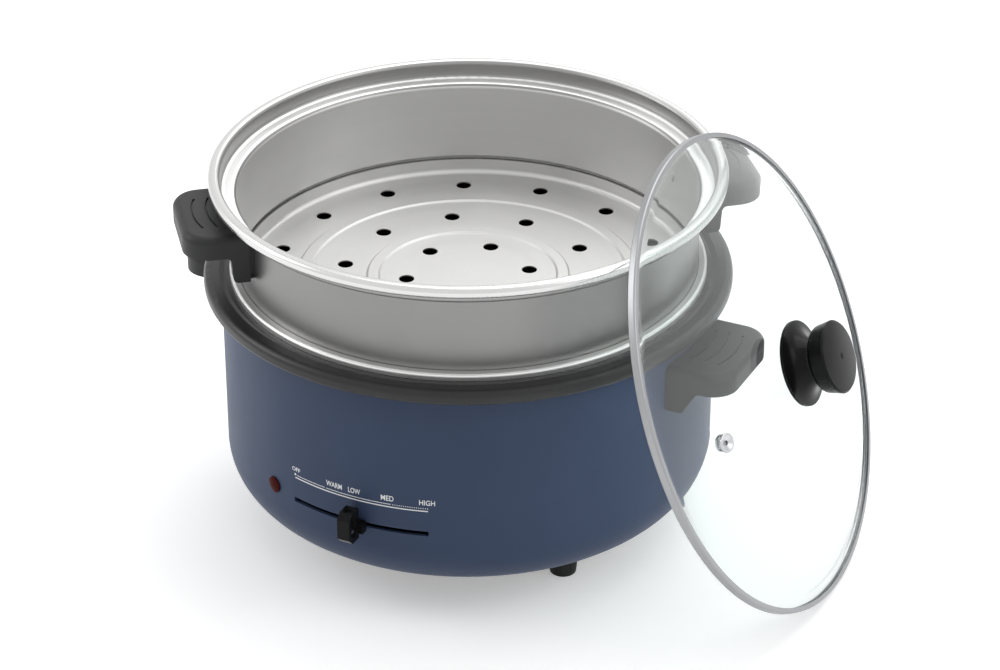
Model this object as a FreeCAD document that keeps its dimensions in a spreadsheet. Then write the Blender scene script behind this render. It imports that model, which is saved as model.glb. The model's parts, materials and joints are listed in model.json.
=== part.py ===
import FreeCAD, Part
import math
import os
from collections import namedtuple

import Sketcher

# Electric hot pot with a steamer insert and a loose glass lid.
#
# Units are millimetres and degrees. +Z is up and the temperature slider faces -Y. The origin is on
# the pot's axis, at the height of the surface that the feet stand on. Each piece is one object of
# the document. Pieces of the steamer are drawn with their handles along X and then turned, and
# pieces of the lid are drawn flat and then leaned against the steamer.

SIZES = {
    # Cooking pot
    "pot_radius": 130.0,          # inside the straight wall
    "pot_depth": 94.0,            # from the inside floor up to the ledge
    "pot_wall": 1.5,
    "pot_floor": 3.0,
    "pot_corner": 25.0,
    "pot_ledge_width": 8.0,       # flat ring that the lid or the steamer sits on
    "pot_crown": 1.5,             # rise from the ledge to the top of the rim
    "pot_crown_slope": 3.0,
    "pot_rim_overhang": 9.8,      # past the outer shell
    "pot_rim_drop": 8.5,
    "pot_rim_round": 4.0,
    "pot_curl_round": 2.5,
    "pot_mouth_round": 1.4,
    "pot_curl_clearance": 2.5,    # turned-in edge to the outer shell
    "pot_lift_gap": 3.0,          # under the rim, above the outer shell

    # Outer shell
    "shell_gap": 6.3,             # air between the pot and the shell
    "shell_wall": 2.2,
    "shell_lip": 5.5,
    "shell_edge_round": 2.5,
    "belly_rise": 10.5,           # from the flat base up to the corner of the rounded belly
    "belly_round": 30.0,
    "belly_blend": 20.0,
    "base_flat": 48.0,            # shell radius less the radius of the flat base
    "base_opening": 74.0,

    # Base cover, feet and the screws through them
    "cover_thickness": 2.5,
    "cover_margin": 14.0,          # cover radius past the shell's flat base
    "cover_edge": 1.5,
    "cover_rib": 3.0,
    "cover_rib_height": 3.0,
    "cover_fit": 0.4,
    "foot_count": 3,
    "foot_height": 14.5,
    "foot_radius": 9.0,
    "foot_taper": 1.5,
    "foot_edge": 1.0,
    "foot_outset": 4.0,           # foot centre outside the edge of the flat base
    "foot_recess": 5.0,
    "foot_recess_depth": 3.5,
    "foot_boss_radius": 4.5,
    "foot_boss_height": 9.0,
    "foot_boss_root": 2.0,        # start of the boss above the underside of the shell
    "foot_screw_radius": 2.0,
    "foot_screw_length": 18.0,
    "foot_screw_head": 3.8,
    "foot_screw_head_height": 2.2,
    "screw_fit": 0.1,             # round every screw in its hole
    "vent_count": 12,
    "vent_radius": 52.0,
    "vent_length": 16.0,
    "vent_width": 3.0,

    # Heating plate, its tubular element and posts
    "plate_radius": 98.0,
    "plate_thickness": 8.0,
    "plate_chamfer": 2.0,
    "rib_radius": 71.0,           # middle of the ring that clasps the element
    "rib_width": 16.0,
    "rib_depth": 6.0,
    "element_radius": 3.3,
    "element_fit": 0.1,
    "element_gap": 30.0,          # degrees left open between the element's two ends
    "element_end": 11.0,
    "terminal_radius": 1.2,
    "terminal_length": 9.0,
    "post_count": 3,
    "post_ring": 46.0,
    "post_radius": 4.0,
    "post_height": 35.0,
    "stud_radius": 2.5,
    "stud_height": 4.0,
    "post_screw_radius": 1.9,
    "post_screw_length": 9.0,
    "post_screw_head": 3.6,
    "post_screw_head_height": 1.8,
    "shield_inset": 4.0,          # rim inside the edge of the flat base
    "shield_thickness": 0.6,
    "shield_rise": 8.0,
    "shield_hole": 12.0,
    "shield_fit": 0.3,

    # Thermostat, lever and slider
    "thermostat_radius": 11.0,
    "thermostat_height": 14.0,
    "thermostat_flange": 15.0,
    "thermostat_flange_height": 2.0,
    "thermostat_edge": 1.5,
    "spindle_radius": 3.0,
    "spindle_length": 19.0,
    "spindle_engagement": 10.0,
    "spindle_fit": 0.05,
    "hub_radius": 7.0,
    "hub_height": 7.0,
    "lever_width": 10.0,
    "lever_thickness": 1.5,
    "lever_foot": 26.0,           # how far inside the shell the lever turns up
    "lever_knee": 14.0,           # and turns out again
    "lever_bend_radius": 4.0,
    "slot_rise": 45.5,            # above the underside of the shell
    "slot_height": 3.0,
    "slot_angle": 34.7,
    "slider_rest": 0.2,           # degrees from the front, towards high
    "slider_gap": 0.8,            # between the shell and the slider knob
    "slider_width": 7.5,
    "slider_height": 19.0,
    "slider_lift": 3.0,           # middle of the knob above the slot
    "slider_depth": 14.5,
    "slider_chamfer": 3.6,
    "slider_neck_width": 13.0,
    "slider_neck_depth": 3.5,
    "slider_neck_height": 6.5,
    "slider_grip_depth": 0.8,
    "slider_grip_width": 6.5,
    "slider_grip_height": 12.0,
    "slider_grip_round": 3.0,
    "slider_core_inset": 1.6,      # second step of the recess in each side
    "slider_core_depth": 1.5,
    "slider_core_round": 1.5,
    "slider_mark": 3.4,            # square recess in the top
    "slider_mark_depth": 0.6,
    "tab_width": 5.5,
    "tab_depth": 11.0,
    "lever_screw_radius": 1.5,
    "lever_screw_length": 8.0,
    "lever_screw_head": 4.2,
    "lever_screw_head_height": 1.8,
    "tab_fit": 0.1,

    # Pilot lamp
    "lamp_angle": -24.2,
    "lamp_rise": 47.5,
    "lamp_radius": 4.0,
    "lamp_fit": 0.15,
    "lamp_flange": 4.7,
    "lamp_flange_height": 0.9,
    "lamp_dome": 0.8,
    "lamp_depth": 5.0,
    "bulb_radius": 3.0,
    "bulb_round": 1.5,
    "bulb_length": 7.0,

    # Mains inlet at the back
    "inlet_rise": 39.0,
    "inlet_width": 30.0,
    "inlet_height": 22.0,
    "inlet_depth": 15.0,
    "inlet_wall": 2.5,
    "inlet_flange_width": 48.0,
    "inlet_flange_height": 26.0,
    "inlet_flange_depth": 3.0,
    "inlet_round": 4.0,
    "inlet_barrel_round": 2.0,
    "inlet_fit": 0.3,
    "pin_spacing": 7.0,
    "pin_offset": 2.0,
    "pin_width": 4.0,
    "pin_thickness": 2.0,
    "pin_fit": 0.1,
    "pin_reach": 8.0,
    "pin_tail": 4.0,
    "inlet_screw_spacing": 39.0,
    "inlet_screw_radius": 1.5,
    "inlet_screw_head": 2.8,
    "inlet_screw_head_height": 1.4,
    "inlet_screw_length": 9.0,

    # Handles: the same moulding on the shell and on the steamer
    "handle_width": 65.0,
    "pot_handle_reach": 33.0,
    "steamer_handle_reach": 31.3,
    "handle_thickness": 13.0,
    "handle_corner": 15.0,
    "handle_edge": 4.5,
    "handle_leg_width": 7.5,
    "handle_leg_round": 3.0,
    "handle_leg_fillet": 3.0,     # between a leg and the underside of the grip
    "handle_seat": 0.1,
    "handle_root": 8.0,           # how far the moulding is drawn inside the wall before trimming
    "groove_count": 3,
    "groove_spacing": 8.0,
    "groove_margin": 8.5,
    "groove_bend": 48.0,
    "groove_width": 1.2,
    "groove_depth": 1.0,
    "groove_half_angle": 22.0,
    "pot_handle_drop": 13.5,      # grip top below the top of the shell
    "pot_handle_leg": 27.0,
    "pot_handle_leg_depth": 6.3,
    "pot_handle_gusset": 8.5,     # widening of a leg up to the grip
    "steamer_handle_leg": 28.5,
    "steamer_handle_leg_depth": 5.3,
    "steamer_handle_gusset": 1.0,
    "steamer_handle_gap": 1.2,    # grip top below the steamer's shoulder
    "handle_screw_radius": 2.0,
    "handle_screw_length": 9.0,
    "handle_screw_bite": 7.5,     # depth of the hole in the leg
    "handle_screw_head": 3.5,
    "handle_screw_head_height": 1.8,
    "handle_screw_rise": 6.5,     # above the bottom of the leg

    # Steamer: spun stainless steel
    "steel": 0.8,
    "steamer_height": 61.0,       # from the pot's ledge to the top of the rim
    "steamer_turn": 38.4,
    "spigot_clearance": 0.7,
    "spigot_depth": 8.8,
    "spigot_round": 4.0,
    "steamer_step": 0.7,          # wall outside the spigot
    "flange_bead": 5.0,
    "flange_bead_height": 4.0,
    "flange_round": 1.8,
    "shoulder_drop": 10.8,        # from the rim down to the lid ledge
    "shoulder_round": 3.0,
    "rim_bead": 6.0,
    "rim_bead_width": 6.6,
    "rim_bead_round": 2.6,
    "base_bead_width": 8.0,
    "base_bead_height": 0.9,
    "base_bead_flank": 1.2,
    "inner_bead_radius": 54.0,
    "outer_bead_radius": 94.0,
    "steam_hole_radius": 4.4,
    "inner_ring_radius": 35.3,
    "inner_ring_count": 6,
    "inner_ring_phase": -3.7,     # degrees from the handles to the first hole
    "middle_ring_radius": 71.3,
    "middle_ring_count": 10,
    "middle_ring_phase": 13.6,
    "outer_ring_radius": 111.6,
    "outer_ring_count": 15,
    "outer_ring_phase": 7.4,
    "bracket_thickness": 2.5,
    "bracket_height": 26.5,
    "bracket_overhang": 0.5,      # past each end of the handle
    "bracket_below": 0.5,         # below the handles' legs
    "bracket_round": 6.0,
    "rivet_radius": 2.0,
    "rivet_head": 3.2,
    "rivet_head_height": 1.0,
    "rivet_length": 10.0,

    # Glass lid
    "lid_overlap": 5.0,           # lid radius less the pot's inside radius
    "lid_clearance": 3.4,         # lid to the steamer's mouth
    "lid_angle": 2.3,             # round the pot from +X
    "lid_tilt": 23.5,             # how far the knob's axis points above the horizontal
    "lid_floor_gap": 0.3,
    "lid_lean_gap": 0.4,
    "glass": 3.6,
    "glass_flange": 6.0,
    "glass_fit": 0.2,
    "glass_edge": 1.0,
    "dome_rise": 27.0,
    "dome_blend": 8.0,
    "band": 0.5,
    "band_round": 1.2,
    "band_lap": 3.0,
    "vent_offset": 88.0,
    "vent_turn": -90.0,
    "grommet_radius": 5.3,
    "grommet_flange": 1.1,
    "grommet_lip": 4.6,
    "grommet_cup": 4.0,
    "grommet_tube": 3.4,
    "grommet_bore": 1.4,
    "knob_bore": 2.3,
    "skirt_radius": 24.0,
    "skirt_edge": 1.6,
    "skirt_neck": 12.5,
    "skirt_curve": 13.0,
    "skirt_height": 9.5,
    "skirt_gap": 0.1,
    "knob_neck": 13.0,
    "knob_waist": 18.5,
    "knob_bulge": 4.0,
    "knob_radius": 20.5,
    "knob_height": 14.0,
    "knob_chamfer": 1.0,
    "knob_collar": 2.4,
    "knob_bore_depth": 8.0,
    "knob_face": 1.4,
    "knob_screw_radius": 2.1,
    "knob_screw_length": 22.0,
    "knob_screw_head": 4.2,
    "knob_screw_head_height": 2.4,
    "washer_radius": 7.5,
    "washer_thickness": 1.0,
    "seal_radius": 9.0,
    "seal_thickness": 1.5,
}


class Size:
    """A dimension: its number, and the spreadsheet expression that drives it."""

    def __init__(self, number, formula):
        self.number = float(number)
        self.formula = formula

    def __add__(self, other):
        other = as_size(other)
        return Size(self.number + other.number, f"({self.formula} + {other.formula})")

    def __sub__(self, other):
        other = as_size(other)
        return Size(self.number - other.number, f"({self.formula} - {other.formula})")

    def __mul__(self, other):
        other = as_size(other)
        return Size(self.number * other.number, f"({self.formula} * {other.formula})")

    def __truediv__(self, other):
        other = as_size(other)
        return Size(self.number / other.number, f"({self.formula} / {other.formula})")

    def __neg__(self):
        return Size(-self.number, f"(0 - {self.formula})")

    def __radd__(self, other):
        return as_size(other) + self

    def __rsub__(self, other):
        return as_size(other) - self

    def __rmul__(self, other):
        return as_size(other) * self


def as_size(value):
    """A plain number as a Size; a Size as it is."""
    return value if isinstance(value, Size) else Size(value, f"({value})")


def root(size):
    """Square root of a Size."""
    return Size(math.sqrt(size.number), f"sqrt({size.formula})")


def larger(one, other):
    """The larger of two Sizes."""
    return Size(max(one.number, other.number), f"max({one.formula}; {other.formula})")


def sine(degrees):
    """Sine of an angle in degrees."""
    degrees = as_size(degrees)
    return Size(math.sin(math.radians(degrees.number)), f"sin({degrees.formula})")


def arcsine(ratio):
    """The angle in degrees whose sine is the ratio."""
    return Size(math.degrees(math.asin(ratio.number)), f"(asin({ratio.formula}) / 1 deg)")


def cosine(degrees):
    """Cosine of an angle in degrees."""
    degrees = as_size(degrees)
    return Size(math.cos(math.radians(degrees.number)), f"cos({degrees.formula})")


class Sheet:
    """Reads the named sizes, so that S.pot_wall is the pot's wall."""

    def __getattr__(self, alias):
        return Size(SIZES[alias], f"Sizes.{alias}")


S = Sheet()
doc = FreeCAD.newDocument("hot_pot")


def fill_spreadsheet():
    """Writes each driving size into the document's spreadsheet."""
    sheet = doc.addObject("Spreadsheet::Sheet", "Sizes")
    for row, (alias, number) in enumerate(SIZES.items(), start=1):
        sheet.set(f"A{row}", alias.replace("_", " "))
        sheet.set(f"B{row}", str(number))
        sheet.setAlias(f"B{row}", alias)
    doc.recompute()


# ---------------------------------------------------------------------------------------------
# Sketches

Corner = namedtuple("Corner", "x y fillet arc")


def at(x, y):
    """A sharp corner of an outline."""
    return Corner(as_size(x), as_size(y), None, None)


def rounded(x, y, radius):
    """A corner of an outline, rounded to a radius."""
    return Corner(as_size(x), as_size(y), as_size(radius), None)


def arc_to(x, y, radius, bulge):
    """A corner reached by an arc from the one before; bulge +1 bends to its left, -1 to its right."""
    return Corner(as_size(x), as_size(y), None, (as_size(radius), bulge))


def rectangle(left, bottom, right, top):
    """The four corners of a rectangle."""
    return [at(left, bottom), at(right, bottom), at(right, top), at(left, top)]


def vector(corner):
    """The corner's place as numbers."""
    return FreeCAD.Vector(corner.x.number, corner.y.number, 0)


def fillet_arc(before, here, after, radius):
    """Start, end and centre of the arc that rounds a corner."""
    into = (before - here).normalize()
    away = (after - here).normalize()
    half = into.getAngle(away) / 2
    reach = radius / math.tan(half)
    middle = (into + away).normalize()
    return here + into * reach, here + away * reach, here + middle * (radius / math.sin(half))


def arc_centre(start, end, radius, bulge):
    """Centre of the short arc from start to end, which bulges to the left (+1) or right (-1)."""
    chord = end - start
    left = FreeCAD.Vector(-chord.y, chord.x, 0).normalize()
    depth = math.sqrt(max(radius ** 2 - (chord.Length / 2) ** 2, 0.0))
    return (start + end) / 2 - left * (bulge * depth)


def add_arc(sketch, start, end, centre):
    """Adds the arc and gives its number and which of its ends are its start and its end."""
    first = math.atan2(start.y - centre.y, start.x - centre.x)
    last = math.atan2(end.y - centre.y, end.x - centre.x)
    counterclockwise = (last - first) % (2 * math.pi) < math.pi
    circle = Part.Circle(centre, FreeCAD.Vector(0, 0, 1), (start - centre).Length)
    if counterclockwise:
        return sketch.addGeometry(Part.ArcOfCircle(circle, first, last), False), 1, 2
    return sketch.addGeometry(Part.ArcOfCircle(circle, last, first), False), 2, 1


def drive(sketch, kind, places, size):
    """Adds a dimension to the sketch and ties it to the spreadsheet."""
    number = sketch.addConstraint(Sketcher.Constraint(kind, *places, size.number))
    sketch.setExpression(f"Constraints[{number}]", size.formula)


def pin_down(sketch, geometry, end, corner):
    """Ties one point of the sketch to the corner's two coordinates."""
    for kind, size, axis in (("DistanceX", corner.x, -2), ("DistanceY", corner.y, -1)):
        if size.formula == "(0)":
            sketch.addConstraint(Sketcher.Constraint("PointOnObject", geometry, end, axis))
        else:
            drive(sketch, kind, (-1, 1, geometry, end), size)


def add_loop(sketch, corners):
    """Adds one closed, fully dimensioned outline to a sketch."""
    count = len(corners)
    points = [vector(corner) for corner in corners]
    leave, arrive, centres = list(points), list(points), {}
    for i, corner in enumerate(corners):
        if corner.fillet:
            arrive[i], leave[i], centres[i] = fillet_arc(
                points[i - 1], points[i], points[(i + 1) % count], corner.fillet.number)
    sides = []
    for i in range(count):
        following = corners[(i + 1) % count]
        if following.arc:
            radius, bulge = following.arc
            centre = arc_centre(leave[i], arrive[(i + 1) % count], radius.number, bulge)
            side = add_arc(sketch, leave[i], arrive[(i + 1) % count], centre)
            drive(sketch, "Radius", (side[0],), radius)
        else:
            line = Part.LineSegment(leave[i], arrive[(i + 1) % count])
            side = (sketch.addGeometry(line, False), 1, 2)
        sides.append(side)
    for i, corner in enumerate(corners):
        before, after = sides[i - 1], sides[i]
        if not corner.fillet:
            joint = Sketcher.Constraint("Coincident", before[0], before[2], after[0], after[1])
            sketch.addConstraint(joint)
            pin_down(sketch, after[0], after[1], corner)
            continue
        arc, start, end = add_arc(sketch, arrive[i], leave[i], centres[i])
        sharp = sketch.addGeometry(Part.Point(points[i]), True)
        pin_down(sketch, sharp, 1, corner)
        for side in (before, after):
            sketch.addConstraint(Sketcher.Constraint("PointOnObject", sharp, 1, side[0]))
        sketch.addConstraint(Sketcher.Constraint("Tangent", before[0], before[2], arc, start))
        sketch.addConstraint(Sketcher.Constraint("Tangent", arc, end, after[0], after[1]))
        drive(sketch, "Radius", (arc,), corner.fillet)


def origin_part(body, role):
    """A plane or an axis of the body's own origin."""
    return next(part for part in body.Origin.OriginFeatures if part.Role == role)


def draw(body, plane, corners, lift=0, shift=0, rise=0):
    """A sketch with one closed outline, on one of the body's origin planes.

    lift moves it along the plane's normal, and shift and rise move it within the plane.
    """
    sketch = body.newObject("Sketcher::SketchObject", f"{body.Name}_sketch")
    sketch.AttachmentSupport = (origin_part(body, f"{plane}_Plane"), [""])
    sketch.MapMode = "FlatFace"
    offsets = [as_size(shift), as_size(rise), as_size(lift)]
    position = FreeCAD.Vector(*(offset.number for offset in offsets))
    sketch.AttachmentOffset = FreeCAD.Placement(position, FreeCAD.Rotation())
    for axis, offset in zip("xyz", offsets):
        if offset.formula != "(0)":
            sketch.setExpression(f"AttachmentOffset.Base.{axis}", offset.formula)
    add_loop(sketch, corners)
    return sketch


# ---------------------------------------------------------------------------------------------
# Seats: places that pieces and holes are put at

class Seat:
    """A place and a direction to look: numbers, and the spreadsheet expression that drives them."""

    def __init__(self, placement, formula):
        self.placement = placement
        self.formula = formula

    def __mul__(self, other):
        return Seat(self.placement * other.placement, f"{self.formula} * {other.formula}")


def seat(x, y, z, yaw=0, pitch=0):
    """A seat that looks along Z, tipped by pitch towards X and then swung by yaw about Z."""
    x, y, z, yaw, pitch = (as_size(size) for size in (x, y, z, yaw, pitch))
    placement = FreeCAD.Placement(FreeCAD.Vector(x.number, y.number, z.number),
                                  FreeCAD.Rotation(yaw.number, pitch.number, 0))
    return Seat(placement, "create(<<placement>>; "
                f"create(<<vector>>; {x.formula}; {y.formula}; {z.formula}); "
                f"create(<<rotation>>; {yaw.formula}; {pitch.formula}; 0))")


def upright(radius, degrees, height, down=False):
    """A seat on a circle round the pot, looking up or down."""
    return seat(radius * cosine(degrees), radius * sine(degrees), height, pitch=180 if down else 0)


def radial(radius, degrees, height, inwards=False):
    """A seat on a circle round the pot, looking out from its axis or in towards it."""
    return seat(radius * cosine(degrees), radius * sine(degrees), height,
                yaw=degrees + (180 if inwards else 0), pitch=90)


def turned(degrees):
    """The seat of a piece that is turned about the pot's axis."""
    return seat(0, 0, 0, yaw=degrees)


def sit(item, where):
    """Puts a piece or a feature on a seat."""
    item.Placement = where.placement
    item.setExpression("Placement", where.formula)


# ---------------------------------------------------------------------------------------------
# Features

def new_body(label):
    """A PartDesign body, which is one kind of piece."""
    body = doc.addObject("PartDesign::Body", label)
    body.Label = label
    return body


def set_size(feature, name, size):
    """Ties a property of a feature to the spreadsheet."""
    feature.setExpression(name, as_size(size).formula)


def turn(body, sketch, degrees=None, cut=False):
    """Turns a sketch round Z: all the way, or degrees of it, half to each side of the sketch."""
    kind = "Groove" if cut else "Revolution"
    feature = body.newObject(f"PartDesign::{kind}", f"{body.Name}_{kind.lower()}")
    feature.Profile = sketch
    feature.ReferenceAxis = (sketch, ["V_Axis"])
    feature.Angle = 360
    if degrees is not None:
        feature.Midplane = True
        set_size(feature, "Angle", degrees)
    sketch.Visibility = False
    return feature


def pad(body, sketch, length, both_ways=False, back=False):
    """Pads a sketch along its normal, half to each side if both_ways, or against it if back."""
    feature = body.newObject("PartDesign::Pad", f"{body.Name}_pad")
    feature.Profile = sketch
    set_size(feature, "Length", length)
    feature.Midplane = both_ways
    feature.Reversed = back
    return feature


def pocket(body, sketch, depth, both_ways=False):
    """Cuts a sketch against its normal, or half to each side if both_ways."""
    feature = body.newObject("PartDesign::Pocket", f"{body.Name}_pocket")
    feature.Profile = sketch
    set_size(feature, "Length", depth)
    feature.Midplane = both_ways
    return feature


def repeat(body, features, count):
    """Repeats features evenly round Z."""
    pattern = body.newObject("PartDesign::PolarPattern", f"{body.Name}_pattern")
    pattern.Originals = features
    pattern.Axis = (origin_part(body, "Z_Axis"), [""])
    pattern.Angle = 360
    set_size(pattern, "Occurrences", count)
    body.Tip = pattern
    return pattern


def mirror(body, features, plane):
    """Mirrors features in one of the body's origin planes."""
    copy = body.newObject("PartDesign::Mirrored", f"{body.Name}_mirror")
    copy.Originals = features
    copy.MirrorPlane = (origin_part(body, f"{plane}_Plane"), [""])
    body.Tip = copy
    return copy


def rod(body, radius, length, where, cut=False):
    """Adds or cuts a cylinder that starts at a seat and runs the way the seat looks."""
    kind = "SubtractiveCylinder" if cut else "AdditiveCylinder"
    feature = body.newObject(f"PartDesign::{kind}", f"{body.Name}_rod")
    set_size(feature, "Radius", radius)
    set_size(feature, "Height", length)
    sit(feature, where)
    return feature


def round_edges(body, radius, wanted):
    """Rounds the edges of the body so far whose box passes the test."""
    doc.recompute()
    base = body.Tip
    edges = [f"Edge{i}" for i, edge in enumerate(base.Shape.Edges, start=1) if wanted(edge.BoundBox)]
    feature = body.newObject("PartDesign::Fillet", f"{body.Name}_fillet")
    feature.Base = (base, edges)
    set_size(feature, "Radius", radius)
    return feature


def near(value, size, slack=0.01):
    """True where a measured value equals a size."""
    return abs(value - as_size(size).number) < slack


def fastener(label, where, shank_radius, shank_length, head_radius, head_height):
    """A screw or rivet. Its seat is where the head meets what it clamps, looking out."""
    cylinders = []
    for name, radius, length, start in (("shank", shank_radius, shank_length, -shank_length),
                                        ("head", head_radius, head_height, 0)):
        cylinder = doc.addObject("Part::Cylinder", f"{label}_{name}")
        set_size(cylinder, "Radius", radius)
        set_size(cylinder, "Height", length)
        sit(cylinder, where * seat(0, 0, start))
        cylinders.append(cylinder)
    screw = doc.addObject("Part::Fuse", label)
    screw.Label = label
    screw.Base, screw.Tool = cylinders


# ---------------------------------------------------------------------------------------------
# Levels and radii that several pieces share

FRONT = -90                       # degrees from +X round to the front and the back
BACK = 90
SIDES = (0, 180)                  # the right and the left handle
ENDS = (-1, 1)                    # of a handle, of the element, of the inlet
POSTS = (BACK, BACK + 120, BACK + 240)
DEGREES_PER_RADIAN = 57.29578

base_height = S.foot_height + S.cover_thickness
post_top = base_height + S.post_height
plate_top = post_top + S.plate_thickness
pot_inside_floor = plate_top + S.pot_floor
pot_ledge = pot_inside_floor + S.pot_depth
steamer_top = pot_ledge + S.steamer_height

pot_outside = S.pot_radius + S.pot_wall
shell_inside = pot_outside + S.shell_gap
shell_radius = shell_inside + S.shell_wall
shell_top = pot_ledge - S.pot_wall - S.pot_lift_gap
base_flat_radius = shell_radius - S.base_flat
cover_radius = base_flat_radius + S.cover_margin
foot_ring = base_flat_radius + S.foot_outset
slot_level = base_height + S.slot_rise
lamp_level = base_height + S.lamp_rise
inlet_level = base_height + S.inlet_rise

spigot_radius = S.pot_radius - S.spigot_clearance
steamer_wall = spigot_radius + S.steamer_step
lid_radius = S.pot_radius + S.lid_overlap
steamer_mouth = lid_radius + S.lid_clearance
steamer_rim = steamer_mouth + S.rim_bead_width
shoulder_level = steamer_top - S.shoulder_drop
bracket_radius = steamer_wall + S.handle_seat
bracket_outside = bracket_radius + S.bracket_thickness
pot_handle_top = shell_top - S.pot_handle_drop
steamer_handle_top = shoulder_level - S.steel - S.steamer_handle_gap
leg_middle = (S.handle_width - S.handle_leg_width) / 2
steamer_floor = pot_ledge - S.spigot_depth
hub_bottom = post_top - S.thermostat_height + S.spindle_engagement - S.spindle_length
element_level = post_top - S.rib_depth / 2
element_ends = [BACK + end * S.element_gap / 2 for end in ENDS]
inlet_pin_places = (
    (-S.pin_spacing, inlet_level - S.pin_offset),
    (as_size(0), inlet_level + S.pin_offset),
    (S.pin_spacing, inlet_level - S.pin_offset),
)
pot_handle_screw_level = pot_handle_top - S.pot_handle_leg + S.handle_screw_rise
steamer_rivet_level = steamer_handle_top - S.steamer_handle_leg + S.handle_screw_rise


# ---------------------------------------------------------------------------------------------
# Outer shell and what closes it underneath

def outer_housing():
    """The painted shell, with its screw bosses, the slider's slot and the holes in its wall."""
    body = new_body("outer_housing")
    slope = S.belly_rise / S.base_flat
    lean = root(slope * slope + 1)
    profile = draw(body, "XZ", [
        at(S.base_opening, base_height),
        rounded(base_flat_radius, base_height, S.belly_blend),
        rounded(shell_radius, base_height + S.belly_rise, S.belly_round),
        rounded(shell_radius, shell_top, S.shell_edge_round),
        at(shell_inside - S.shell_lip, shell_top),
        at(shell_inside - S.shell_lip, shell_top - S.shell_wall),
        at(shell_inside, shell_top - S.shell_wall),
        rounded(shell_inside, base_height + S.belly_rise + S.shell_wall * (lean - slope),
                S.belly_round - S.shell_wall),
        rounded(base_flat_radius - S.shell_wall * (lean - 1) / slope, base_height + S.shell_wall,
                S.belly_blend + S.shell_wall),
        at(S.base_opening, base_height + S.shell_wall),
    ])
    turn(body, profile)

    boss = rod(body, S.foot_boss_radius, S.foot_boss_height - S.foot_boss_root,
               upright(foot_ring, BACK, base_height + S.foot_boss_root))
    bore = rod(body, S.foot_screw_radius + S.screw_fit, S.foot_boss_height,
               upright(foot_ring, BACK, base_height - 1), cut=True)
    repeat(body, [boss, bore], S.foot_count)

    slot = draw(body, "YZ", rectangle(-(shell_radius + 1), slot_level - S.slot_height / 2,
                                      -(shell_inside - 1), slot_level + S.slot_height / 2))
    turn(body, slot, S.slot_angle, cut=True)
    wall_depth = S.shell_wall + 2
    rod(body, S.lamp_radius + S.lamp_fit, wall_depth,
        radial(shell_inside - 1, FRONT + S.lamp_angle, lamp_level), cut=True)

    opening = draw(body, "XZ", rectangle(
        -(S.inlet_width / 2 + S.inlet_fit), inlet_level - S.inlet_height / 2 - S.inlet_fit,
        S.inlet_width / 2 + S.inlet_fit, inlet_level + S.inlet_height / 2 + S.inlet_fit))
    pocket(body, opening, shell_radius + 1)
    for side in (-1, 1):
        rod(body, S.inlet_screw_radius + S.screw_fit, shell_radius,
            seat(side * S.inlet_screw_spacing / 2, 0, inlet_level, yaw=BACK, pitch=90), cut=True)
    for side in SIDES:
        for end in ENDS:
            rod(body, S.handle_screw_radius + S.screw_fit, wall_depth,
                radial(shell_inside - 1, side + leg_angle(shell_radius, end),
                       pot_handle_screw_level), cut=True)


def base_cover():
    """The vented steel disc that carries the heating plate's posts."""
    body = new_body("base_cover")
    rib_outside = S.base_opening - S.cover_fit
    profile = draw(body, "XZ", [
        at(0, S.foot_height),
        at(cover_radius, S.foot_height),
        rounded(cover_radius, base_height, S.cover_edge),
        at(rib_outside, base_height),
        at(rib_outside, base_height + S.cover_rib_height),
        at(rib_outside - S.cover_rib, base_height + S.cover_rib_height),
        at(rib_outside - S.cover_rib, base_height),
        at(0, base_height),
    ])
    turn(body, profile)
    vent = draw(body, "XY", rectangle(S.vent_radius, -S.vent_width / 2,
                                      S.vent_radius + S.vent_length, S.vent_width / 2),
                lift=base_height)
    repeat(body, [pocket(body, vent, S.cover_thickness)], S.vent_count)
    foot_hole = rod(body, S.foot_screw_radius + S.screw_fit, S.cover_thickness,
                    upright(foot_ring, BACK, S.foot_height), cut=True)
    post_hole = rod(body, S.post_screw_radius + S.screw_fit, S.cover_thickness,
                    upright(S.post_ring, BACK, S.foot_height), cut=True)
    repeat(body, [foot_hole, post_hole], S.foot_count)


def rubber_foot(label, angle):
    """A tapered foot with a recess that hides its screw."""
    body = new_body(label)
    bore = S.foot_screw_radius + S.screw_fit
    profile = draw(body, "XZ", [
        at(S.foot_recess, 0),
        rounded(S.foot_radius - S.foot_taper, 0, S.foot_edge),
        at(S.foot_radius, S.foot_height),
        at(bore, S.foot_height),
        at(bore, S.foot_recess_depth),
        at(S.foot_recess, S.foot_recess_depth),
    ])
    turn(body, profile)
    sit(body, upright(foot_ring, angle, 0))


def foot_screw(label, angle):
    """A screw that holds a foot and the cover to the shell."""
    fastener(label, upright(foot_ring, angle, S.foot_recess_depth, down=True),
             S.foot_screw_radius, S.foot_screw_length,
             S.foot_screw_head, S.foot_screw_head_height)


# ---------------------------------------------------------------------------------------------
# Heating plate and what holds it

def support_post(label, angle):
    """A post between the base cover and the heating plate, with a stud on top."""
    body = new_body(label)
    bore = S.post_screw_radius + S.screw_fit
    profile = draw(body, "XZ", [
        at(bore, 0),
        at(S.post_radius, 0),
        at(S.post_radius, S.post_height),
        at(S.stud_radius, S.post_height),
        at(S.stud_radius, S.post_height + S.stud_height),
        at(0, S.post_height + S.stud_height),
        at(0, S.post_screw_length),
        at(bore, S.post_screw_length),
    ])
    turn(body, profile)
    sit(body, upright(S.post_ring, angle, base_height))


def post_screw(label, angle):
    """A screw that holds a post to the base cover."""
    fastener(label, upright(S.post_ring, angle, S.foot_height, down=True),
             S.post_screw_radius, S.post_screw_length,
             S.post_screw_head, S.post_screw_head_height)


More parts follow.
